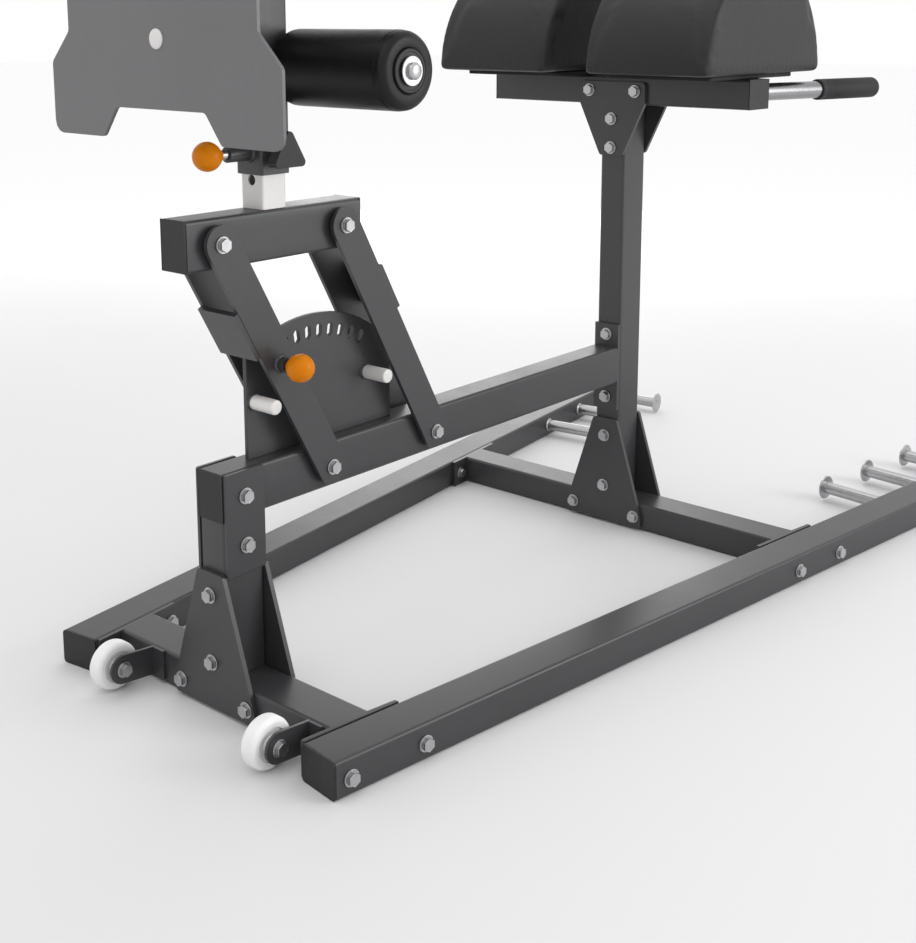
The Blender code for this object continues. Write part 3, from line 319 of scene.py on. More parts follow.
@dataclass
class Bench:
    """The modelling moves that the sub-assemblies share.

    Attributes:
        pressure: the pressure that fills a cover.
        cloth_frames: how many frames it is filled for.
        furthest_in: the furthest that filling draws it in.
        slab_rise: how far above the origin a slab lies.
    """

    paint: Paintshop
    pressure: float = 4.0
    cloth_frames: int = 20
    furthest_in: float = 0.0006
    slab_rise: float = 0.0003

    def activate(self, piece: bpy.types.Object) -> None:
        """Make a piece the only selected object, and the active one."""
        deselect()
        piece.select_set(True)
        bpy.context.view_layer.objects.active = piece

    def turn(self, at: Sequence[float], axis: Sequence[float]) -> Matrix:
        """Return the move that takes the origin to a point and +Z onto an axis."""
        turn = Vector(axis).normalized().to_track_quat("Z", "Y").to_matrix().to_4x4()
        return Matrix.Translation(Vector(at)) @ turn

    def slab(self, name: str, size: Triple) -> bpy.types.Object:
        """Lay a slab just above the origin.

        Args:
            name: the slab's name.
            size: its lengths along the axes.

        Returns:
            The slab.
        """
        deselect()
        bpy.ops.mesh.primitive_cube_add(size=1.0, location=(0, 0, size[2] / 2 + self.slab_rise))
        piece = bpy.context.active_object
        piece.name = name
        piece.dimensions = size
        bpy.ops.object.transform_apply(location=True, rotation=True, scale=True)
        return piece

    def turned(self, name: str, profile: Profile, at: Sequence[float], axis: Sequence[float],
               steps: int = 48) -> bpy.types.Object:
        """Spin a profile of (radius, along) points about an axis.

        Args:
            name: the new piece's name.
            profile: the points; one that starts off the axis is closed on itself.
            at: where along = 0 lies.
            axis: the direction of along.
            steps: facets round the piece.

        Returns:
            The new piece.
        """
        points = [(radius, 0.0, along) for radius, along in profile]
        edges = [(index, index + 1) for index in range(len(points) - 1)]
        if profile[0][0] > 0:
            edges.append((len(points) - 1, 0))
        mesh = bpy.data.meshes.new(name)
        mesh.from_pydata(points, edges, [])
        piece = link(name, mesh)
        self.activate(piece)
        bpy.ops.object.mode_set(mode="EDIT")
        bpy.ops.mesh.select_all(action="SELECT")
        bpy.ops.mesh.spin(steps=steps, angle=math.tau, center=(0, 0, 0), axis=(0, 0, 1))
        bpy.ops.mesh.select_all(action="SELECT")
        bpy.ops.mesh.remove_doubles(threshold=0.00001)
        bpy.ops.mesh.normals_make_consistent(inside=False)
        bpy.ops.object.mode_set(mode="OBJECT")
        piece.data.transform(self.turn(at, axis))
        piece.data.update()
        return piece

    def inset_top(self, piece: bpy.types.Object, thickness: float, depth: float) -> None:
        """Inset the highest upward face and move the new face along its normal.

        Args:
            piece: the piece.
            thickness: how far in the new edge lies.
            depth: how far the new face moves; negative sinks it.
        """
        self.activate(piece)
        top = max(vertex.co.z for vertex in piece.data.vertices)
        bpy.ops.object.mode_set(mode="EDIT")
        bpy.ops.mesh.select_mode(type="FACE")
        bpy.ops.mesh.select_all(action="DESELECT")
        bpy.ops.object.mode_set(mode="OBJECT")
        for polygon in piece.data.polygons:
            polygon.select = polygon.normal.z > 0.9 and polygon.center.z > top - 0.00001
        bpy.ops.object.mode_set(mode="EDIT")
        bpy.ops.mesh.inset(thickness=thickness, depth=depth)
        bpy.ops.object.mode_set(mode="OBJECT")

    def apply(self, piece: bpy.types.Object, kind: str, **settings: object) -> None:
        """Add a modifier, set it up and apply it.

        Args:
            piece: the piece.
            kind: the modifier's type.
            **settings: its properties.
        """
        modifier = piece.modifiers.new(kind.lower(), kind)
        for name, value in settings.items():
            setattr(modifier, name, value)
        self.activate(piece)
        bpy.ops.object.modifier_apply(modifier=modifier.name)

    def join(self, pieces: Sequence[bpy.types.Object], name: str) -> bpy.types.Object:
        """Join pieces into one object.

        Args:
            pieces: the pieces, the first of which stays.
            name: the joined piece's name.

        Returns:
            The joined piece.
        """
        self.activate(pieces[0])
        for piece in pieces[1:]:
            piece.select_set(True)
        bpy.ops.object.join()
        pieces[0].name = name
        return pieces[0]

    def copy(self, pattern: bpy.types.Object, name: str, matrix: Matrix) -> bpy.types.Object:
        """Copy a piece with its own mesh and move the mesh.

        Args:
            pattern: the piece to copy.
            name: the copy's name.
            matrix: the move; a mirroring one has its faces turned back.

        Returns:
            The copy.
        """
        mesh = pattern.data.copy()
        mesh.transform(matrix)
        if matrix.determinant() < 0:
            mesh.flip_normals()
        return link(name, mesh)

    def deliver(self, piece: bpy.types.Object, body: str, slot: str, replaces: Sequence[str] = (),
                smooth: float | None = 35.0) -> bpy.types.Object:
        """Shade, paint and hand over a finished piece.

        Args:
            piece: the piece.
            body: the body that it rides on.
            slot: the record's material slot.
            replaces: the solids that it stands for.
            smooth: the largest angle in degrees that is shaded smooth; None leaves the shading.

        Returns:
            The same piece.
        """
        if smooth is not None:
            self.activate(piece)
            bpy.ops.object.shade_smooth_by_angle(angle=math.radians(smooth))
        self.paint.dress(piece, slot)
        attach(piece, body)
        if replaces:
            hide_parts(*replaces)
        LOG.info("%s rides on %s, finished as %s", piece.name, body, slot)
        return piece

    def inflate(self, piece: bpy.types.Object, voxel: float, cap: float,
                held: Callable[[Vector], bool]) -> None:
        """Fill a cover with foam: remesh it, let cloth swell under pressure, and limit the swelling.

        Args:
            piece: a closed shape, slightly smaller than the finished one.
            voxel: the remeshing size.
            cap: the furthest that any point may move.
            held: tells whether a point is stitched down or rests on something.
        """
        self.apply(piece, "REMESH", mode="VOXEL", voxel_size=voxel, adaptivity=0.0)
        still = [vertex.index for vertex in piece.data.vertices if held(vertex.co)]
        piece.vertex_groups.new(name="held").add(still, 1.0, "REPLACE")
        cloth = piece.modifiers.new("cloth", "CLOTH")
        cloth.settings.quality = 5
        cloth.settings.vertex_group_mass = "held"
        cloth.settings.use_pressure = True
        cloth.settings.uniform_pressure_force = self.pressure
        cloth.settings.effector_weights.gravity = 0.0
        cloth.point_cache.frame_end = self.cloth_frames
        for number in range(1, self.cloth_frames + 1):
            bpy.context.scene.frame_set(number)
        swollen = piece.evaluated_get(bpy.context.evaluated_depsgraph_get())
        count = len(piece.data.vertices)
        start, end, normal = np.zeros(count * 3), np.zeros(count * 3), np.zeros(count * 3)
        piece.data.vertices.foreach_get("co", start)
        piece.data.vertices.foreach_get("normal", normal)
        swollen.data.vertices.foreach_get("co", end)
        normal = normal.reshape(-1, 3)
        rise = ((end - start).reshape(-1, 3) * normal).sum(axis=1)
        move = normal * np.clip(rise, -self.furthest_in, cap)[:, None]
        piece.modifiers.remove(cloth)
        piece.data.vertices.foreach_set("co", start + move.ravel())
        piece.data.update()
        bpy.context.scene.frame_set(1)
        self.apply(piece, "SMOOTH", factor=0.5, iterations=3)


# --- Steelwork: the solids that stay, with broken edges and paint ---

@dataclass
class Steelwork:
    """Dresses the solids that are shown as they are: painted, with eased edges.

    Attributes:
        easing: the edge radius on each kind of piece, by the start of its name.
        plain_easing: the radius on everything else.
        limit: edges sharper than this angle in degrees are eased.
    """

    paint: Paintshop
    easing: dict[str, float] = field(default_factory=lambda: {
        "clamp_knob": 0.0022, "foot_plate": 0.0014, "pad_board": 0.0020, "rail_cap": 0.0012,
        "index_sector": 0.0009, "index_post": 0.0005, "front_arms": 0.0010, "rear_arms": 0.0010})
    plain_easing: float = 0.0008
    limit: float = 50.0

    def build(self) -> None:
        """Dress every solid by the slot that the record gives it."""
        for row in frame["record"]["subparts"]:
            self._dress(frame["nodes"][row["node"]], row["material_slot"])

    def _dress(self, node: bpy.types.Object, slot: str) -> None:
        """Paint one solid and ease its edges.

        Args:
            node: the solid.
            slot: its material slot.
        """
        if not node.material_slots:
            node.data.materials.append(None)
        for holder in node.material_slots:
            holder.material = self.paint.materials[slot]
        node.data.polygons.foreach_set("use_smooth", [True] * len(node.data.polygons))
        widths = [width for start, width in self.easing.items() if node.name.startswith(start)]
        weld = node.modifiers.new("weld", "WELD")
        weld.merge_threshold = 0.00002
        bevel = node.modifiers.new("eased_edges", "BEVEL")
        bevel.width = widths[0] if widths else self.plain_easing
        bevel.segments = 2
        bevel.limit_method = "ANGLE"
        bevel.angle_limit = math.radians(self.limit)
        normals = node.modifiers.new("normals", "WEIGHTED_NORMAL")
        normals.weight = 80


# --- Fasteners ---

@dataclass
class Fasteners:
    """Bolts with washers at every bolted joint.

    Attributes:
        washer_radius: outer radius of a washer.
        washer: a washer's thickness.
        head_radius: from a head's middle to its corners.
        head: a head's height.
        rail_width: across a base rail.
        rail_corner_y: from the centre line to a rail's front outer corner.
        rail_stations: where the flange bolts cross a rail, from its front outer corner.
        rail_bolt_z: the height of the flange bolts.
        flange: thickness of a flange plate.
        bracket_face: from a wheel's middle to its bracket's outer face.
        nut_gap: between a wheel and its nut.
        end_plate: thickness of the main beam's end plate.
        end_plate_heights: the heights of its bolts.
        saddle_heights: the heights of the saddle plates' bolts.
        shank: radius of a pivot bolt.
        disc: radius and height of a foot plate bolt's dome, and its rim.
        disc_rise: from the foot plate's middle height to each of its bolts.
    """

    bench: Bench
    washer_radius: float = 0.0135
    washer: float = 0.0022
    head_radius: float = 0.0110
    head: float = 0.0075
    rail_width: float = 0.080
    rail_corner_y: float = 0.3355
    rail_stations: tuple[float, ...] = (0.0308, 0.1728, 1.152, 1.294)
    rail_bolt_z: float = 0.028
    flange: float = 0.0083
    bracket_face: float = 0.0292
    nut_gap: float = 0.0006
    end_plate: float = 0.008
    end_plate_heights: tuple[float, ...] = (0.2904, 0.4307)
    saddle_heights: tuple[float, ...] = (0.281, 0.363)
    shank: float = 0.007
    disc: Triple = (0.015, 0.0035, 0.0008)
    disc_rise: float = 0.063

    def build(self) -> None:
        """Build every fastener."""
        self.pattern = self._model_bolt()
        self._gusset_bolts()
        self._saddle_bolts()
        self._rail_bolts()
        self._end_plate_bolts()
        self._wheel_bolts()
        self._foot_plate_discs()
        self._pivot_bolts()
        bpy.data.objects.remove(self.pattern)

    def _model_bolt(self) -> bpy.types.Object:
        """Model a washer and a hexagon head with a dished top, standing on the origin.

        Returns:
            The pattern that every bolt copies.
        """
        chamfer = 0.0004
        ring = [(0.0, 0.0), (self.washer_radius - chamfer, 0.0), (self.washer_radius, chamfer),
                (self.washer_radius, self.washer - chamfer), (self.washer_radius - chamfer, self.washer),
                (0.0, self.washer)]
        washer = self.bench.turned("washer", ring, (0, 0, 0), (0, 0, 1), 32)
        deselect()
        bpy.ops.mesh.primitive_cylinder_add(vertices=6, radius=self.head_radius, depth=self.head,
                                            location=(0, 0, self.washer + self.head / 2 + 0.0001))
        head = bpy.context.active_object
        bpy.ops.object.transform_apply(location=True, rotation=True, scale=True)
        self.bench.inset_top(head, 0.0026, 0.0)
        self.bench.inset_top(head, 0.0006, -0.0005)
        self.bench.apply(head, "BEVEL", width=0.0007, segments=2, limit_method="ANGLE",
                         angle_limit=math.radians(40))
        pattern = self.bench.join([washer, head], "bolt_pattern")
        bpy.ops.object.shade_smooth_by_angle(angle=math.radians(35))
        return pattern

    def _bolt(self, name: str, at: Sequence[float], axis: Sequence[float], body: str = "base") -> None:
        """Put one bolt head where its washer bears, facing along an axis."""
        piece = self.bench.copy(self.pattern, name, self.bench.turn(at, axis))
        self.bench.deliver(piece, body, "zinc_steel", smooth=None)

    def _gusset_bolts(self) -> None:
        """Bolt the foot and head gussets, with a head on each outer face."""
        foot = ((0.0, 0.201), (0.0, 0.086), (-0.080, 0.031), (0.080, 0.031))
        head = ((-0.057, 0.957), (0.057, 0.957), (0.0, 0.898), (0.0, 0.837))
        rows = (("front_foot_gusset", foot), ("rear_foot_gusset", foot), ("head_gusset", head))
        for gusset, places in rows:
            for face, sign, corner in (("ahead", -1, 0), ("behind", 1, 1)):
                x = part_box(f"{gusset}_{face}")[corner].x + sign * BEARING_GAP
                for number, (y, z) in enumerate(places, start=1):
                    self._bolt(f"bolt_{gusset}_{face}_{number}", (x, y, z), (sign, 0, 0))

    def _saddle_bolts(self) -> None:
        """Bolt the saddle plates on both sides of the front upright."""
        for side, sign in SIDES.items():
            low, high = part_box(f"saddle_plate_{side}")
            face = low.y if sign < 0 else high.y
            middle = (low.x + high.x) / 2
            for number, z in enumerate(self.saddle_heights, start=1):
                at = (middle, face + sign * BEARING_GAP, z)
                self._bolt(f"bolt_saddle_{side}_{number}", at, (0, sign, 0))

    def _rail_bolts(self) -> None:
        """Bolt the flanges to the rails: heads on the outer faces and nuts on the flanges."""
        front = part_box("rail_cap_near_front")[0].x
        for side, sign in SIDES.items():
            along = Vector((math.cos(RAIL_SPLAY), sign * math.sin(RAIL_SPLAY), 0))
            outward = Vector((-math.sin(RAIL_SPLAY), sign * math.cos(RAIL_SPLAY), 0))
            corner = Vector((front, sign * self.rail_corner_y, self.rail_bolt_z))
            for number, station in enumerate(self.rail_stations, start=1):
                face = corner + along * station
                inner = face - outward * (self.rail_width + self.flange + BEARING_GAP)
                self._bolt(f"bolt_rail_{side}_{number}", face + outward * BEARING_GAP, outward)
                self._bolt(f"nut_rail_{side}_{number}", inner, -outward)

    def _end_plate_bolts(self) -> None:
        """Bolt the main beam's end plate to the rear upright."""
        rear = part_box("rear_upright")[1].x + BEARING_GAP
        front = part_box("main_beam")[1].x - self.end_plate - BEARING_GAP
        for number, z in enumerate(self.end_plate_heights, start=1):
            self._bolt(f"bolt_end_plate_{number}", (front, 0.0, z), (-1, 0, 0))
            self._bolt(f"nut_end_plate_{number}", (rear, 0.0, z), (1, 0, 0))

    def _wheel_bolts(self) -> None:
        """Put a bolt head on each wheel bracket and a nut on the wheel's other side."""
        for side in SIDES:
            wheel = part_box(f"wheel_{side}")
            hub = middle_of(wheel)
            self._bolt(f"bolt_wheel_{side}", (hub.x, hub.y - self.bracket_face, hub.z), (0, -1, 0))
            self._bolt(f"nut_wheel_{side}", (hub.x, wheel[1].y + self.nut_gap, hub.z), (0, 1, 0))

    def _foot_plate_discs(self) -> None:
        """Put the two domed bolt heads on the front of the foot plate."""
        low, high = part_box("foot_plate")
        middle = (low.z + high.z) / 2
        (radius, rise, rim), steps = self.disc, 6
        dome = [(radius * math.cos(turn), rise * math.sin(turn) + rim)
                for turn in (math.pi / 2 * step / steps for step in range(steps))]
        profile = [(0.0, 0.0), (radius, 0.0)] + dome + [(0.0, rise + rim)]
        for level, sign in (("lower", -1), ("upper", 1)):
            at = (low.x - BEARING_GAP, 0.0, middle + sign * self.disc_rise)
            disc = self.bench.turned(f"foot_plate_bolt_{level}", profile, at, (-1, 0, 0), 32)
            self.bench.deliver(disc, "carriage", "light_post")

    def _pivot_bolts(self) -> None:
        """Replace each plain pivot bolt by a shank with a washer and head at both ends."""
        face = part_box("front_arms")[1].y + 0.0003
        rows = (("front_lower", "base"), ("rear_lower", "base"),
                ("front_upper", "head"), ("rear_upper", "head"))
        for place, body in rows:
            node = f"pivot_bolt_{place}"
            middle = middle_of(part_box(node))
            profile = [(0, -face), (self.shank, -face), (self.shank, face), (0, face)]
            shank = self.bench.turned(f"{node}_shank", profile, middle, (0, 1, 0), 24)
            ends = [shank]
            for side, sign in SIDES.items():
                matrix = self.bench.turn(middle + Vector((0, sign * face, 0)), (0, sign, 0))
                ends.append(self.bench.copy(self.pattern, f"{node}_{side}", matrix))
            piece = self.bench.join(ends, f"{node}_fitted")
            self.bench.deliver(piece, body, "zinc_steel", [node])


# --- Turned and moulded fittings ---

@dataclass
class Fittings:
    """Band pegs, handles and grips, pull pins, wheels, tube plugs and weld rings.

    Attributes:
        peg: a band peg's length, its radius and its disc's radius.
        handle: a handle tube's length and radius.
        handle_splay: the angle of each handle to the centre line.
        handle_y: how far out each handle starts.
        grip: a grip's length and radius.
        ball_radius: radius of a pull pin's ball.
        wheel: a wheel's radius, half its width, and its bore's radius.
        plug_short: a plug's shorter side.
        plug_long: its longer side.
        plug_lip: how thick a plug is.
        sleeve_lip: how thick the sleeve's plug is.
        stop_rods: each stop rod's middle, as (x, z).
        sector_face: from the centre line to where a weld on the sector starts.
        rod_root: from the centre line to where a stop rod's sleeve starts.
        rod: radius of a stop rod.
        housing: radius of a pin housing.
        sleeve_half: from the post's middle to the carriage sleeve's face.
    """

    bench: Bench
    peg: Triple = (0.160, 0.014, 0.027)
    handle: tuple[float, float] = (0.395, 0.018)
    handle_splay: float = math.radians(13.7)
    handle_y: float = 0.267
    grip: tuple[float, float] = (0.179, 0.022)
    ball_radius: float = 0.023
    wheel: Triple = (0.041, 0.015, 0.0053)
    plug_short: float = 0.0596
    plug_long: float = 0.0796
    plug_lip: float = 0.0024
    sleeve_lip: float = 0.003
    stop_rods: tuple[tuple[float, float], ...] = ((-0.8493, 0.500), (-0.5913, 0.499))
    sector_face: float = 0.0042
    rod_root: float = 0.0078
    rod: float = 0.011
    housing: float = 0.0125
    sleeve_half: float = 0.030

    def build(self) -> None:
        """Build every fitting."""
        self._band_pegs()
        self._handles()
        self._pull_pins()
        self._wheels()
        self._plugs()
        self._weld_rings()

    def _band_pegs(self) -> None:
        """Turn the six pegs, each with a root collar and a rounded disc."""
        length, radius, disc = self.peg
        profile = [(0.0, 0.0), (radius + 0.003, 0.0), (radius + 0.003, 0.002)]
        profile += [(radius, 0.005), (radius, length - 0.007)]
        profile += arc(0.0025, (disc - 0.0025, length - 0.0035), -60, 90)
        profile += [(0.010, length), (0.008, length - 0.0012), (0.0, length - 0.0012)]
        for side, sign in SIDES.items():
            inward = Vector((math.sin(RAIL_SPLAY), -sign * math.cos(RAIL_SPLAY), 0))
            for number in range(1, 4):
                node = f"band_peg_{side}_{number}"
                low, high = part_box(node)
                middle = middle_of((low, high))
                reach = (high.y - low.y) / 2
                tip_y = middle.y - sign * (reach - disc * math.sin(RAIL_SPLAY))
                root_y = middle.y + sign * (reach - radius * math.sin(RAIL_SPLAY))
                centre = Vector((middle.x, (tip_y + root_y) / 2, middle.z))
                shift = (disc - radius) * math.cos(RAIL_SPLAY) / 2
                at = centre - inward * length / 2 - Vector((shift, 0, 0))
                piece = self.bench.turned(f"{node}_turned", profile, at, inward)
                self.bench.deliver(piece, "base", "zinc_steel", [node])

    def _handles(self) -> None:
        """Turn the two handle tubes with their weld rings, and their soft grips."""
        length, tube = self.handle
        grip_length, grip = self.grip
        start = length - grip_length
        sleeve = [(tube + 0.0003, length - 0.010), (tube + 0.0003, start)]
        sleeve += arc(0.003, (grip - 0.003, start + 0.003), -90, 0)
        for groove in range(4):
            along = start + 0.014 + groove * 0.007
            sleeve += [(grip, along), (grip - 0.0009, along + 0.0012), (grip - 0.0009, along + 0.0026),
                       (grip, along + 0.0038)]
        end = length + 0.011
        cap = arc(0.009, (grip - 0.009, end - 0.009), 0, 90, 6)
        profile = [(0.0, length - 0.010)] + sleeve + cap + [(0.0, end)]
        for side, sign in SIDES.items():
            direction = Vector((math.cos(self.handle_splay), sign * math.sin(self.handle_splay), 0))
            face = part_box("pad_crossbar")[1].x + 0.0003
            low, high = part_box(f"handle_{side}")
            root = Vector((face, sign * self.handle_y, (low.z + high.z) / 2))
            inset = tube * math.tan(self.handle_splay) + 0.0005
            shaft = [(0.0, inset), (tube, inset), (tube, length - 0.012), (0.0, length - 0.012)]
            piece = self.bench.turned(f"handle_{side}_tube", shaft, root, direction, 64)
            self.bench.deliver(piece, "base", "chrome_tube", [f"handle_{side}"])
            bead = [(tube - 0.001, 0.0005), (tube + 0.0045, 0.0005), (tube + 0.0035, 0.0035),
                    (tube + 0.0005, 0.0058), (tube - 0.001, 0.0058)]
            ring = self.bench.turned(f"handle_{side}_weld", bead, root, (1, 0, 0), 64)
            self.bench.deliver(ring, "base", "frame_paint")
            piece = self.bench.turned(f"grip_{side}_moulded", profile, root, direction, 64)
            self.bench.deliver(piece, "base", "grip_rubber", [f"grip_{side}"], 50)

    def _pull_pins(self) -> None:
        """Make each pull pin: a moulded ball with a neck, and a plated stem that slides in its housing."""
        rows = (("arm_pin", (0, 1, 0), 0.0277), ("sleeve_pin", (1, 0, 0), 0.0367))
        for node, axis, neck in rows:
            low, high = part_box(node)
            across = middle_of((low, high))
            start = Vector((across.x, low.y, across.z)) if axis[1] else Vector((low.x, across.y, across.z))
            at = start + Vector(axis) * self.ball_radius
            reach = (high - low).dot(Vector(axis)) - self.ball_radius
            ball = arc(self.ball_radius, (0.0, 0.0), -90, 64, 22)[1:]
            profile = [(0.0, -self.ball_radius)] + ball
            profile += [(0.0095, self.ball_radius + 0.0012), (0.0, self.ball_radius + 0.0012)]
            piece = self.bench.turned(f"{node}_ball", profile, at, axis, 64)
            self.bench.deliver(piece, node, "orange_plastic", [node])
            foot = self.ball_radius + 0.0014
            stem = [(0.0, foot), (0.0070, foot), (0.0078, foot + 0.0008), (0.0078, neck - 0.0012),
                    (0.0070, neck - 0.0004), (0.0032, neck - 0.0004), (0.0032, reach - 0.001),
                    (0.0022, reach), (0.0, reach)]
            piece = self.bench.turned(f"{node}_stem", stem, at, axis, 32)
            self.bench.deliver(piece, node, "zinc_steel")

    def _wheels(self) -> None:
        """Turn the two wheels, with a crowned tyre, a sunk web and a hub."""
        radius, half, bore = self.wheel
        face = arc(0.0090, (radius - 0.0090, half - 0.0090), 0, 90, 8)
        face += [(0.0270, half), (0.0262, half - 0.002), (0.0160, half - 0.003), (0.0145, half - 0.0005),
                 (0.0085, half - 0.0003), (bore, half - 0.0003)]
        profile = [(r, -along) for r, along in reversed(face)] + face
        for side in SIDES:
            node = f"wheel_{side}"
            piece = self.bench.turned(f"{node}_turned", profile, middle_of(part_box(node)), (0, 1, 0), 64)
            self.bench.deliver(piece, node, "white_wheel", [node])

    def _plug(self, name: str, at: Vector, axis: Sequence[float], wide: float, tall: float,
              body: str) -> None:
        """Close a tube's end with a dished plastic plug.

        Args:
            name: the plug's name.
            at: the middle of the tube's end.
            axis: out of the tube.
            wide: across the tube, horizontally.
            tall: up the tube.
            body: the body it rides on.
        """
        piece = self.bench.slab(name, (wide, tall, self.plug_lip))
        self.bench.inset_top(piece, 0.006, 0.0)
        self.bench.inset_top(piece, 0.0015, -0.0010)
        self.bench.apply(piece, "BEVEL", width=0.0009, segments=3, limit_method="ANGLE",
                         angle_limit=math.radians(40))
        out = Vector(axis)
        side = out.cross(Vector((0, 0, 1)))
        up = side.cross(out)
        turn = Matrix((side, up, out)).transposed().to_4x4()
        piece.data.transform(Matrix.Translation(at) @ turn)
        self.bench.deliver(piece, body, "black_plastic")

    def _plugs(self) -> None:
        """Plug the open ends of the main beam, the top bar, the crossbar and the sleeve."""
        beam, bar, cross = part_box("main_beam"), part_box("top_bar"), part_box("pad_crossbar")
        low_z = middle_of(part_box("pivot_bolt_front_lower")).z
        high_z = middle_of(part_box("pivot_bolt_front_upper")).z
        ends = (("plug_main_beam", beam[0].x, low_z, -1, "base"),
                ("plug_top_bar_front", bar[0].x, high_z, -1, "head"),
                ("plug_top_bar_rear", bar[1].x, high_z, 1, "head"))
        for name, x, z, sign, body in ends:
            self._plug(name, Vector((x, 0, z)), (sign, 0, 0), self.plug_short, self.plug_long, body)
        middle = middle_of(cross)
        for side, sign in SIDES.items():
            at = Vector((middle.x, sign * cross[1].y, middle.z))
            self._plug(f"plug_crossbar_{side}", at, (0, sign, 0), self.plug_long, self.plug_short, "base")
        self._sleeve_plug()

    def _sleeve_plug(self) -> None:
        """Close the top of the sleeve."""
        at = (middle_of(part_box("index_post")).x, 0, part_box("sleeve")[1].z)
        piece = self.bench.slab("plug_sleeve_top", (self.plug_short, self.plug_short, self.sleeve_lip))
        self.bench.inset_top(piece, 0.006, -0.0010)
        self.bench.apply(piece, "BEVEL", width=0.0010, segments=3, limit_method="ANGLE",
                         angle_limit=math.radians(30))
        piece.data.transform(Matrix.Translation(Vector(at)))
        self.bench.deliver(piece, "carriage", "black_plastic")

    def _weld_rings(self) -> None:
        """Sleeve the stop rods, and lay a weld bead round them and round the pin housings."""
        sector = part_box("index_sector")
        for number, (x, z) in enumerate(self.stop_rods, start=1):
            self._bead(f"weld_stop_rod_{number}", self.rod, (x, -self.sector_face, z), (0, -1, 0), "base")
            reach = -sector[0].y - self.rod_root
            sleeve = [(0.0, reach + 0.0003), (0.0111, reach + 0.0003), (0.0111, 0.0), (0.0122, 0.0)]
            sleeve += arc(0.0030, (0.0092, reach - 0.0009), 0, 90) + [(0.0, reach + 0.0021)]
            root = (x, -self.rod_root, z)
            piece = self.bench.turned(f"stop_rod_sleeve_{number}", sleeve, root, (0, -1, 0), 48)
            self.bench.deliver(piece, "base", "light_post")
        centre = middle_of(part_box("arm_pin"))
        at = (centre.x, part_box("rear_arms")[0].y - BEARING_GAP, centre.z)
        self._bead("weld_arm_housing", self.housing, at, (0, -1, 0), "front_arms")
        post_x = middle_of(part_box("index_post")).x
        at = (post_x - self.sleeve_half - BEARING_GAP, 0, middle_of(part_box("sleeve_pin")).z)
        self._bead("weld_sleeve_housing", self.housing, at, (-1, 0, 0), "carriage")

    def _bead(self, name: str, radius: float, at: Sequence[float], axis: Sequence[float], body: str) -> None:
        """Lay one ring of weld.

        Args:
            name: the bead's name.
            radius: the radius of the rod that it runs round.
            at: the foot of the rod.
            axis: along the rod.
            body: the body it rides on.
        """
        profile = [(radius + 0.0002, 0.0), (radius + 0.0035, 0.0), (radius + 0.0028, 0.0018),
                   (radius + 0.0012, 0.0031), (radius + 0.0002, 0.0034)]
        piece = self.bench.turned(name, profile, at, axis, 48)
        self.bench.deliver(piece, body, "frame_paint")


# --- Padded pieces ---

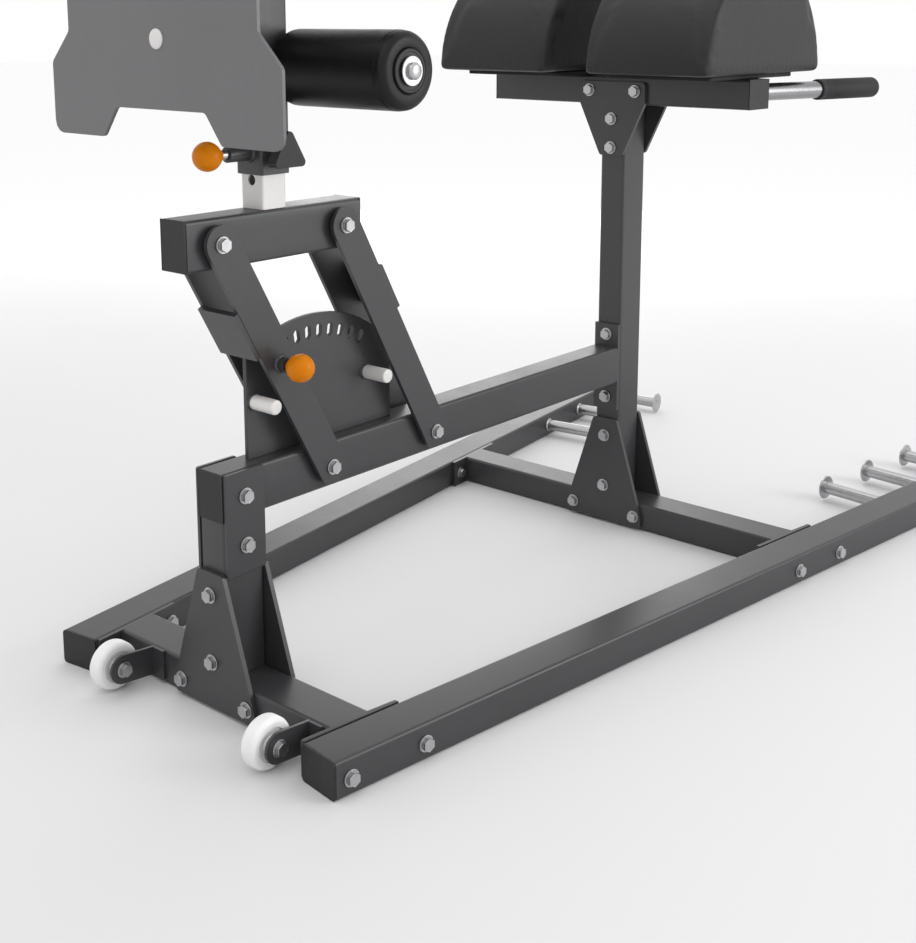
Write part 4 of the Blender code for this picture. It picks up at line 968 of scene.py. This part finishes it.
@dataclass
class AnkleRollers:
    """Four padded rollers, on two axles.

    Attributes:
        radius: the finished radius.
        slack: how much smaller the cover is before it is filled.
        cap_radius: radius of the plastic disc that is let into the outer end.
        bore: radius of the hole for the axle.
        corners: radius of the cover's corner at its inner and outer end.
        seam: from the outer end to the stitched seam.
        axle: radius of an axle, its washers and its nuts.
        nut_reach: from a washer's inner face to the axle's end.
        voxel: remeshing size.
    """

    bench: Bench
    radius: float = 0.062
    slack: float = 0.0022
    cap_radius: float = 0.0325
    bore: float = 0.0132
    corners: tuple[float, float] = (0.008, 0.015)
    seam: float = 0.017
    axle: Triple = (0.0125, 0.0219, 0.0128)
    nut_reach: float = 0.012
    voxel: float = 0.004

    def build(self) -> None:
        """Fill one roller, copy it to the other three places and make the axles."""
        low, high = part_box("roller_lower_far")
        self.length = high.y - low.y
        pattern = self._fill()
        for level in ("lower", "upper"):
            for side, sign in SIDES.items():
                node = f"roller_{level}_{side}"
                low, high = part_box(node)
                middle = middle_of((low, high))
                start = low.y if sign > 0 else high.y
                flip = Matrix.Diagonal((1, sign, 1, 1))
                matrix = Matrix.Translation((middle.x, start, middle.z)) @ flip
                piece = self.bench.copy(pattern, f"{node}_padded", matrix)
                self.bench.deliver(piece, node, "roller_foam", [node], 60)
                self._end_disc(node, (middle.x, start + sign * self.length, middle.z), sign)
            self._axle(level)
        bpy.data.objects.remove(pattern)

    def _end_disc(self, node: str, at: Triple, sign: int) -> None:
        """Let a moulded disc into a roller's outer end.

        Args:
            node: the roller.
            at: the middle of its outer end.
            sign: which way the end faces along Y.
        """
        edge = self.cap_radius
        profile = [(self.bore, -0.0065), (edge, -0.0065), (edge, -0.0016), (edge - 0.0012, -0.0004),
                   (edge - 0.0040, -0.0004), (edge - 0.0048, -0.0012), (self.bore, -0.0012)]
        piece = self.bench.turned(f"{node}_disc", profile, at, (0, sign, 0), 48)
        self.bench.deliver(piece, node, "black_plastic")

    def _fill(self) -> bpy.types.Object:
        """Turn the cover, fill it and stitch its end seam.

        Returns:
            A roller that starts at the origin and runs along +Y.
        """
        outer = self.radius - self.slack
        far = self.length - self.slack
        root, tip = self.corners
        profile = [(self.bore, self.slack)]
        profile += arc(root, (outer - root, self.slack + root), -90, 0, 5)
        profile += arc(tip, (outer - tip, far - tip), 0, 90, 5)
        sunk = self.cap_radius + 0.0015
        profile += [(sunk, far), (sunk, far - 0.006), (self.bore, far - 0.006)]
        piece = self.bench.turned("roller_pattern", profile, (0, 0, 0), (0, 1, 0), 64)
        self.bench.inflate(piece, self.voxel, self.slack,
                           lambda co: math.hypot(co.x, co.z) < self.cap_radius + 0.004)
        self.bench.apply(piece, "SUBSURF", levels=1, render_levels=1)
        seam = self.length - self.seam
        for vertex in piece.data.vertices:
            reach = math.hypot(vertex.co.x, vertex.co.z)
            if reach > self.radius * 0.8:
                sink = 0.0009 * math.exp(-((vertex.co.y - seam) / 0.0022) ** 2)
                vertex.co.x *= 1 - sink / reach
                vertex.co.z *= 1 - sink / reach
        return piece

    def _axle(self, level: str) -> None:
        """Turn one axle, with a washer and a domed nut at each end.

        Args:
            level: lower or upper.
        """
        node = f"roller_axle_{level}"
        low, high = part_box(node)
        tube, washer, nut = self.axle
        face = high.y - self.nut_reach
        half = [(tube, face), (washer - 0.0006, face), (washer, face + 0.0006), (washer, face + 0.0024),
                (washer - 0.0008, face + 0.003), (nut, face + 0.003), (nut, face + 0.0075),
                (nut * 0.88, face + 0.0098), (nut * 0.6, face + 0.0113), (0.0, face + self.nut_reach)]
        profile = [(radius, -along) for radius, along in reversed(half)] + half
        middle = middle_of((low, high))
        piece = self.bench.turned(f"{node}_turned", profile, middle, (0, 1, 0), 48)
        self.bench.deliver(piece, "carriage", "zinc_steel", [node])


@dataclass
class HipPads:
    """Two half-round hip pads in grained vinyl, pulled taut over foam.

    Attributes:
        slack: how much smaller the cover is before it is filled.
        rounding: radius of the foam's edges before it is filled.
        cap: the furthest that filling moves a point.
        voxel: remeshing size.
    """

    bench: Bench
    slack: float = 0.0025
    rounding: float = 0.009
    cap: float = 0.0040
    voxel: float = 0.006

    def build(self) -> None:
        """Fill the far pad and mirror it to the near side."""
        low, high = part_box("hip_pad_far")
        self.width = high.y - low.y - 2 * self.slack
        self.radius = (high.x - low.x) / 2
        self.centre = Vector(((low.x + high.x) / 2, (low.y + high.y) / 2, low.z))
        pattern = self._fill()
        for side, sign in SIDES.items():
            pad = self.bench.copy(pattern, f"hip_pad_{side}_padded", Matrix.Diagonal((1, sign, 1, 1)))
            self.bench.deliver(pad, "base", "pad_vinyl", [f"hip_pad_{side}"], 60)
        bpy.data.objects.remove(pattern)

    def _fill(self) -> bpy.types.Object:
        """Cut a half-round cover, round its edges, fill it and tuck it in along the board.

        Returns:
            The far pad.
        """
        deselect()
        bpy.ops.mesh.primitive_cylinder_add(vertices=96, radius=self.radius - self.slack, depth=self.width,
                                            location=self.centre, rotation=(math.pi / 2, 0, 0))
        piece = bpy.context.active_object
        bpy.ops.object.transform_apply(location=True, rotation=True, scale=True)
        bpy.ops.object.mode_set(mode="EDIT")
        bpy.ops.mesh.select_all(action="SELECT")
        bpy.ops.mesh.bisect(plane_co=self.centre + Vector((0, 0, 0.0002)), plane_no=(0, 0, -1),
                            use_fill=True, clear_outer=True)
        bpy.ops.object.mode_set(mode="OBJECT")
        self.bench.apply(piece, "BEVEL", width=self.rounding, segments=4, limit_method="ANGLE",
                         angle_limit=math.radians(40))
        self.bench.inflate(piece, self.voxel, self.cap, self._is_held)
        self.bench.apply(piece, "SUBSURF", levels=1, render_levels=1)
        self._tuck(piece)
        return piece

    def _is_held(self, point: Vector) -> bool:
        """Tell whether a point rests on the board."""
        return point.z < self.centre.z + 0.007

    def _tuck(self, piece: bpy.types.Object) -> None:
        """Gather the vinyl in small folds where it is pulled under the pad.

        Args:
            piece: the filled pad.
        """
        folds, depth, spread = 310.0, 0.00022, 0.020
        for vertex in piece.data.vertices:
            height = vertex.co.z - self.centre.z
            near = math.exp(-(height / spread) ** 2) * min(1.0, max(0.0, (height - 0.004) / 0.008))
            phase = folds * (vertex.co.x + vertex.co.y)
            vertex.co += vertex.normal * depth * near * (math.sin(phase) + 0.5 * math.sin(2.3 * phase))


# --- Studio ---

@dataclass
class Studio:
    """A pale floor with a painted shade under the machine, soft light and the camera.

    Attributes:
        camera_at: the camera's place.
        yaw: its heading, from +X towards +Y, in degrees.
        pitch: its tilt, down when negative.
        lens: focal length in millimetres.
        shift: how far the frame lies beside and below the line of sight.
        painted_shade_tint: the floor's colour under the machine.
        far_tint: its colour further away.
        fade: where the painted shade of the near colour starts to turn into the far colour, and where it
            has.
        lamps: each lamp's name, its place, the height on the Z axis that it points at, the side of its
            square face, and its power in watts.
    """

    camera_at: Triple = (-2.2388, -1.6098, 1.1050)
    yaw: float = 40.54
    pitch: float = -10.58
    lens: float = 51.618
    shift: tuple[float, float] = (0.0073, -0.2119)
    painted_shade_tint: tuple[float, ...] = (0.69, 0.685, 0.695, 1.0)
    far_tint: tuple[float, ...] = (0.97, 0.97, 0.975, 1.0)
    fade: tuple[float, float] = (1.6, 6.0)
    lamps: tuple[tuple[str, Triple, float, float, float], ...] = (
        ("key", (-2.2, -0.6, 3.6), 0.5, 2.0, 14.0), ("top", (0.4, 0.6, 4.2), 0.3, 2.5, 22.0),
        ("side", (1.6, -3.6, 1.6), 0.6, 2.0, 60.0), ("back", (3.8, 3.2, 1.3), 0.5, 2.5, 34.0))

    def build(self) -> None:
        """Set up the whole studio."""
        bpy.context.scene.view_settings.view_transform = "Standard"
        self._camera()
        self._floor()
        self._world()
        for name, at, aim, size, power in self.lamps:
            self._lamp(name, at, (0.0, 0.0, aim), size, power)

    def _camera(self) -> None:
        """Place the camera."""
        data = bpy.data.cameras.new("camera")
        data.lens = self.lens
        data.shift_x, data.shift_y = self.shift
        camera = link("camera", data)
        camera.location = self.camera_at
        camera.rotation_euler = (math.radians(90 + self.pitch), 0, math.radians(self.yaw - 90))
        bpy.context.scene.camera = camera

    def _floor(self) -> None:
        """Lay the floor, in a pale matt finish whose painted shade under the machine lightens away from it.
        """
        deselect()
        bpy.ops.mesh.primitive_plane_add(size=60.0, location=(0, 0, -0.0004))
        floor = bpy.context.active_object
        floor.name = "floor"
        material = bpy.data.materials.new("pale_floor")
        material.use_nodes = True
        sheet = NodeSheet(material.node_tree)
        shader = material.node_tree.nodes["Principled BSDF"]
        where = sheet.add("TexCoord")
        cloud = sheet.add("TexNoise", {"Vector": where.outputs["Object"], "Scale": 1.3, "Detail": 3.0})
        reach = sheet.add("VectorMath", {0: where.outputs["Object"]}, operation="LENGTH")
        mottled = sheet.add("Math", {0: cloud.outputs[0], 1: 0.5, 2: reach.outputs["Value"]},
                            operation="MULTIPLY_ADD")
        away = sheet.add("MapRange", {0: mottled.outputs[0], 1: self.fade[0], 2: self.fade[1]},
                         interpolation_type="SMOOTHSTEP")
        # The darker colour near the machine is a painted shade, mottled at its edge by the noise and fading
        # into the far colour.
        tint = sheet.add("Mix", {0: away.outputs[0], 6: self.painted_shade_tint, 7: self.far_tint},
                         data_type="RGBA")
        sheet.tree.links.new(tint.outputs[2], shader.inputs["Base Color"])
        shader.inputs["Roughness"].default_value = 0.75
        floor.data.materials.append(material)

    def _world(self) -> None:
        """Fill the surroundings with soft white light."""
        world = bpy.data.worlds.new("studio")
        world.use_nodes = True
        background = world.node_tree.nodes["Background"]
        background.inputs["Color"].default_value = (1.0, 1.0, 1.0, 1.0)
        background.inputs["Strength"].default_value = 1.0
        bpy.context.scene.world = world

    def _lamp(self, name: str, at: Triple, target: Triple, size: float, power: float) -> None:
        """Hang one soft box.

        Args:
            name: the lamp's name.
            at: where it hangs.
            target: what it points at.
            size: the side of its square face.
            power: in watts.
        """
        data = bpy.data.lights.new(name, "AREA")
        data.size = size
        data.energy = power
        lamp = link(name, data)
        lamp.location = at
        lamp.visible_camera = False
        lamp.rotation_euler = (Vector(target) - Vector(at)).to_track_quat("-Z", "Y").to_euler()


def main() -> None:
    """Build the looks in order: finishes, padded pieces, fittings, fasteners, steelwork, studio."""
    logging.basicConfig(level=logging.INFO, format="%(asctime)s %(message)s")
    deselect()
    paint = Paintshop()
    bench = Bench(paint)
    for assembly in (HipPads(bench), AnkleRollers(bench), Fittings(bench), Fasteners(bench),
                     Steelwork(paint), Studio()):
        assembly.build()
        LOG.info("%s done", type(assembly).__name__)


if __name__ == "__main__":
    main()
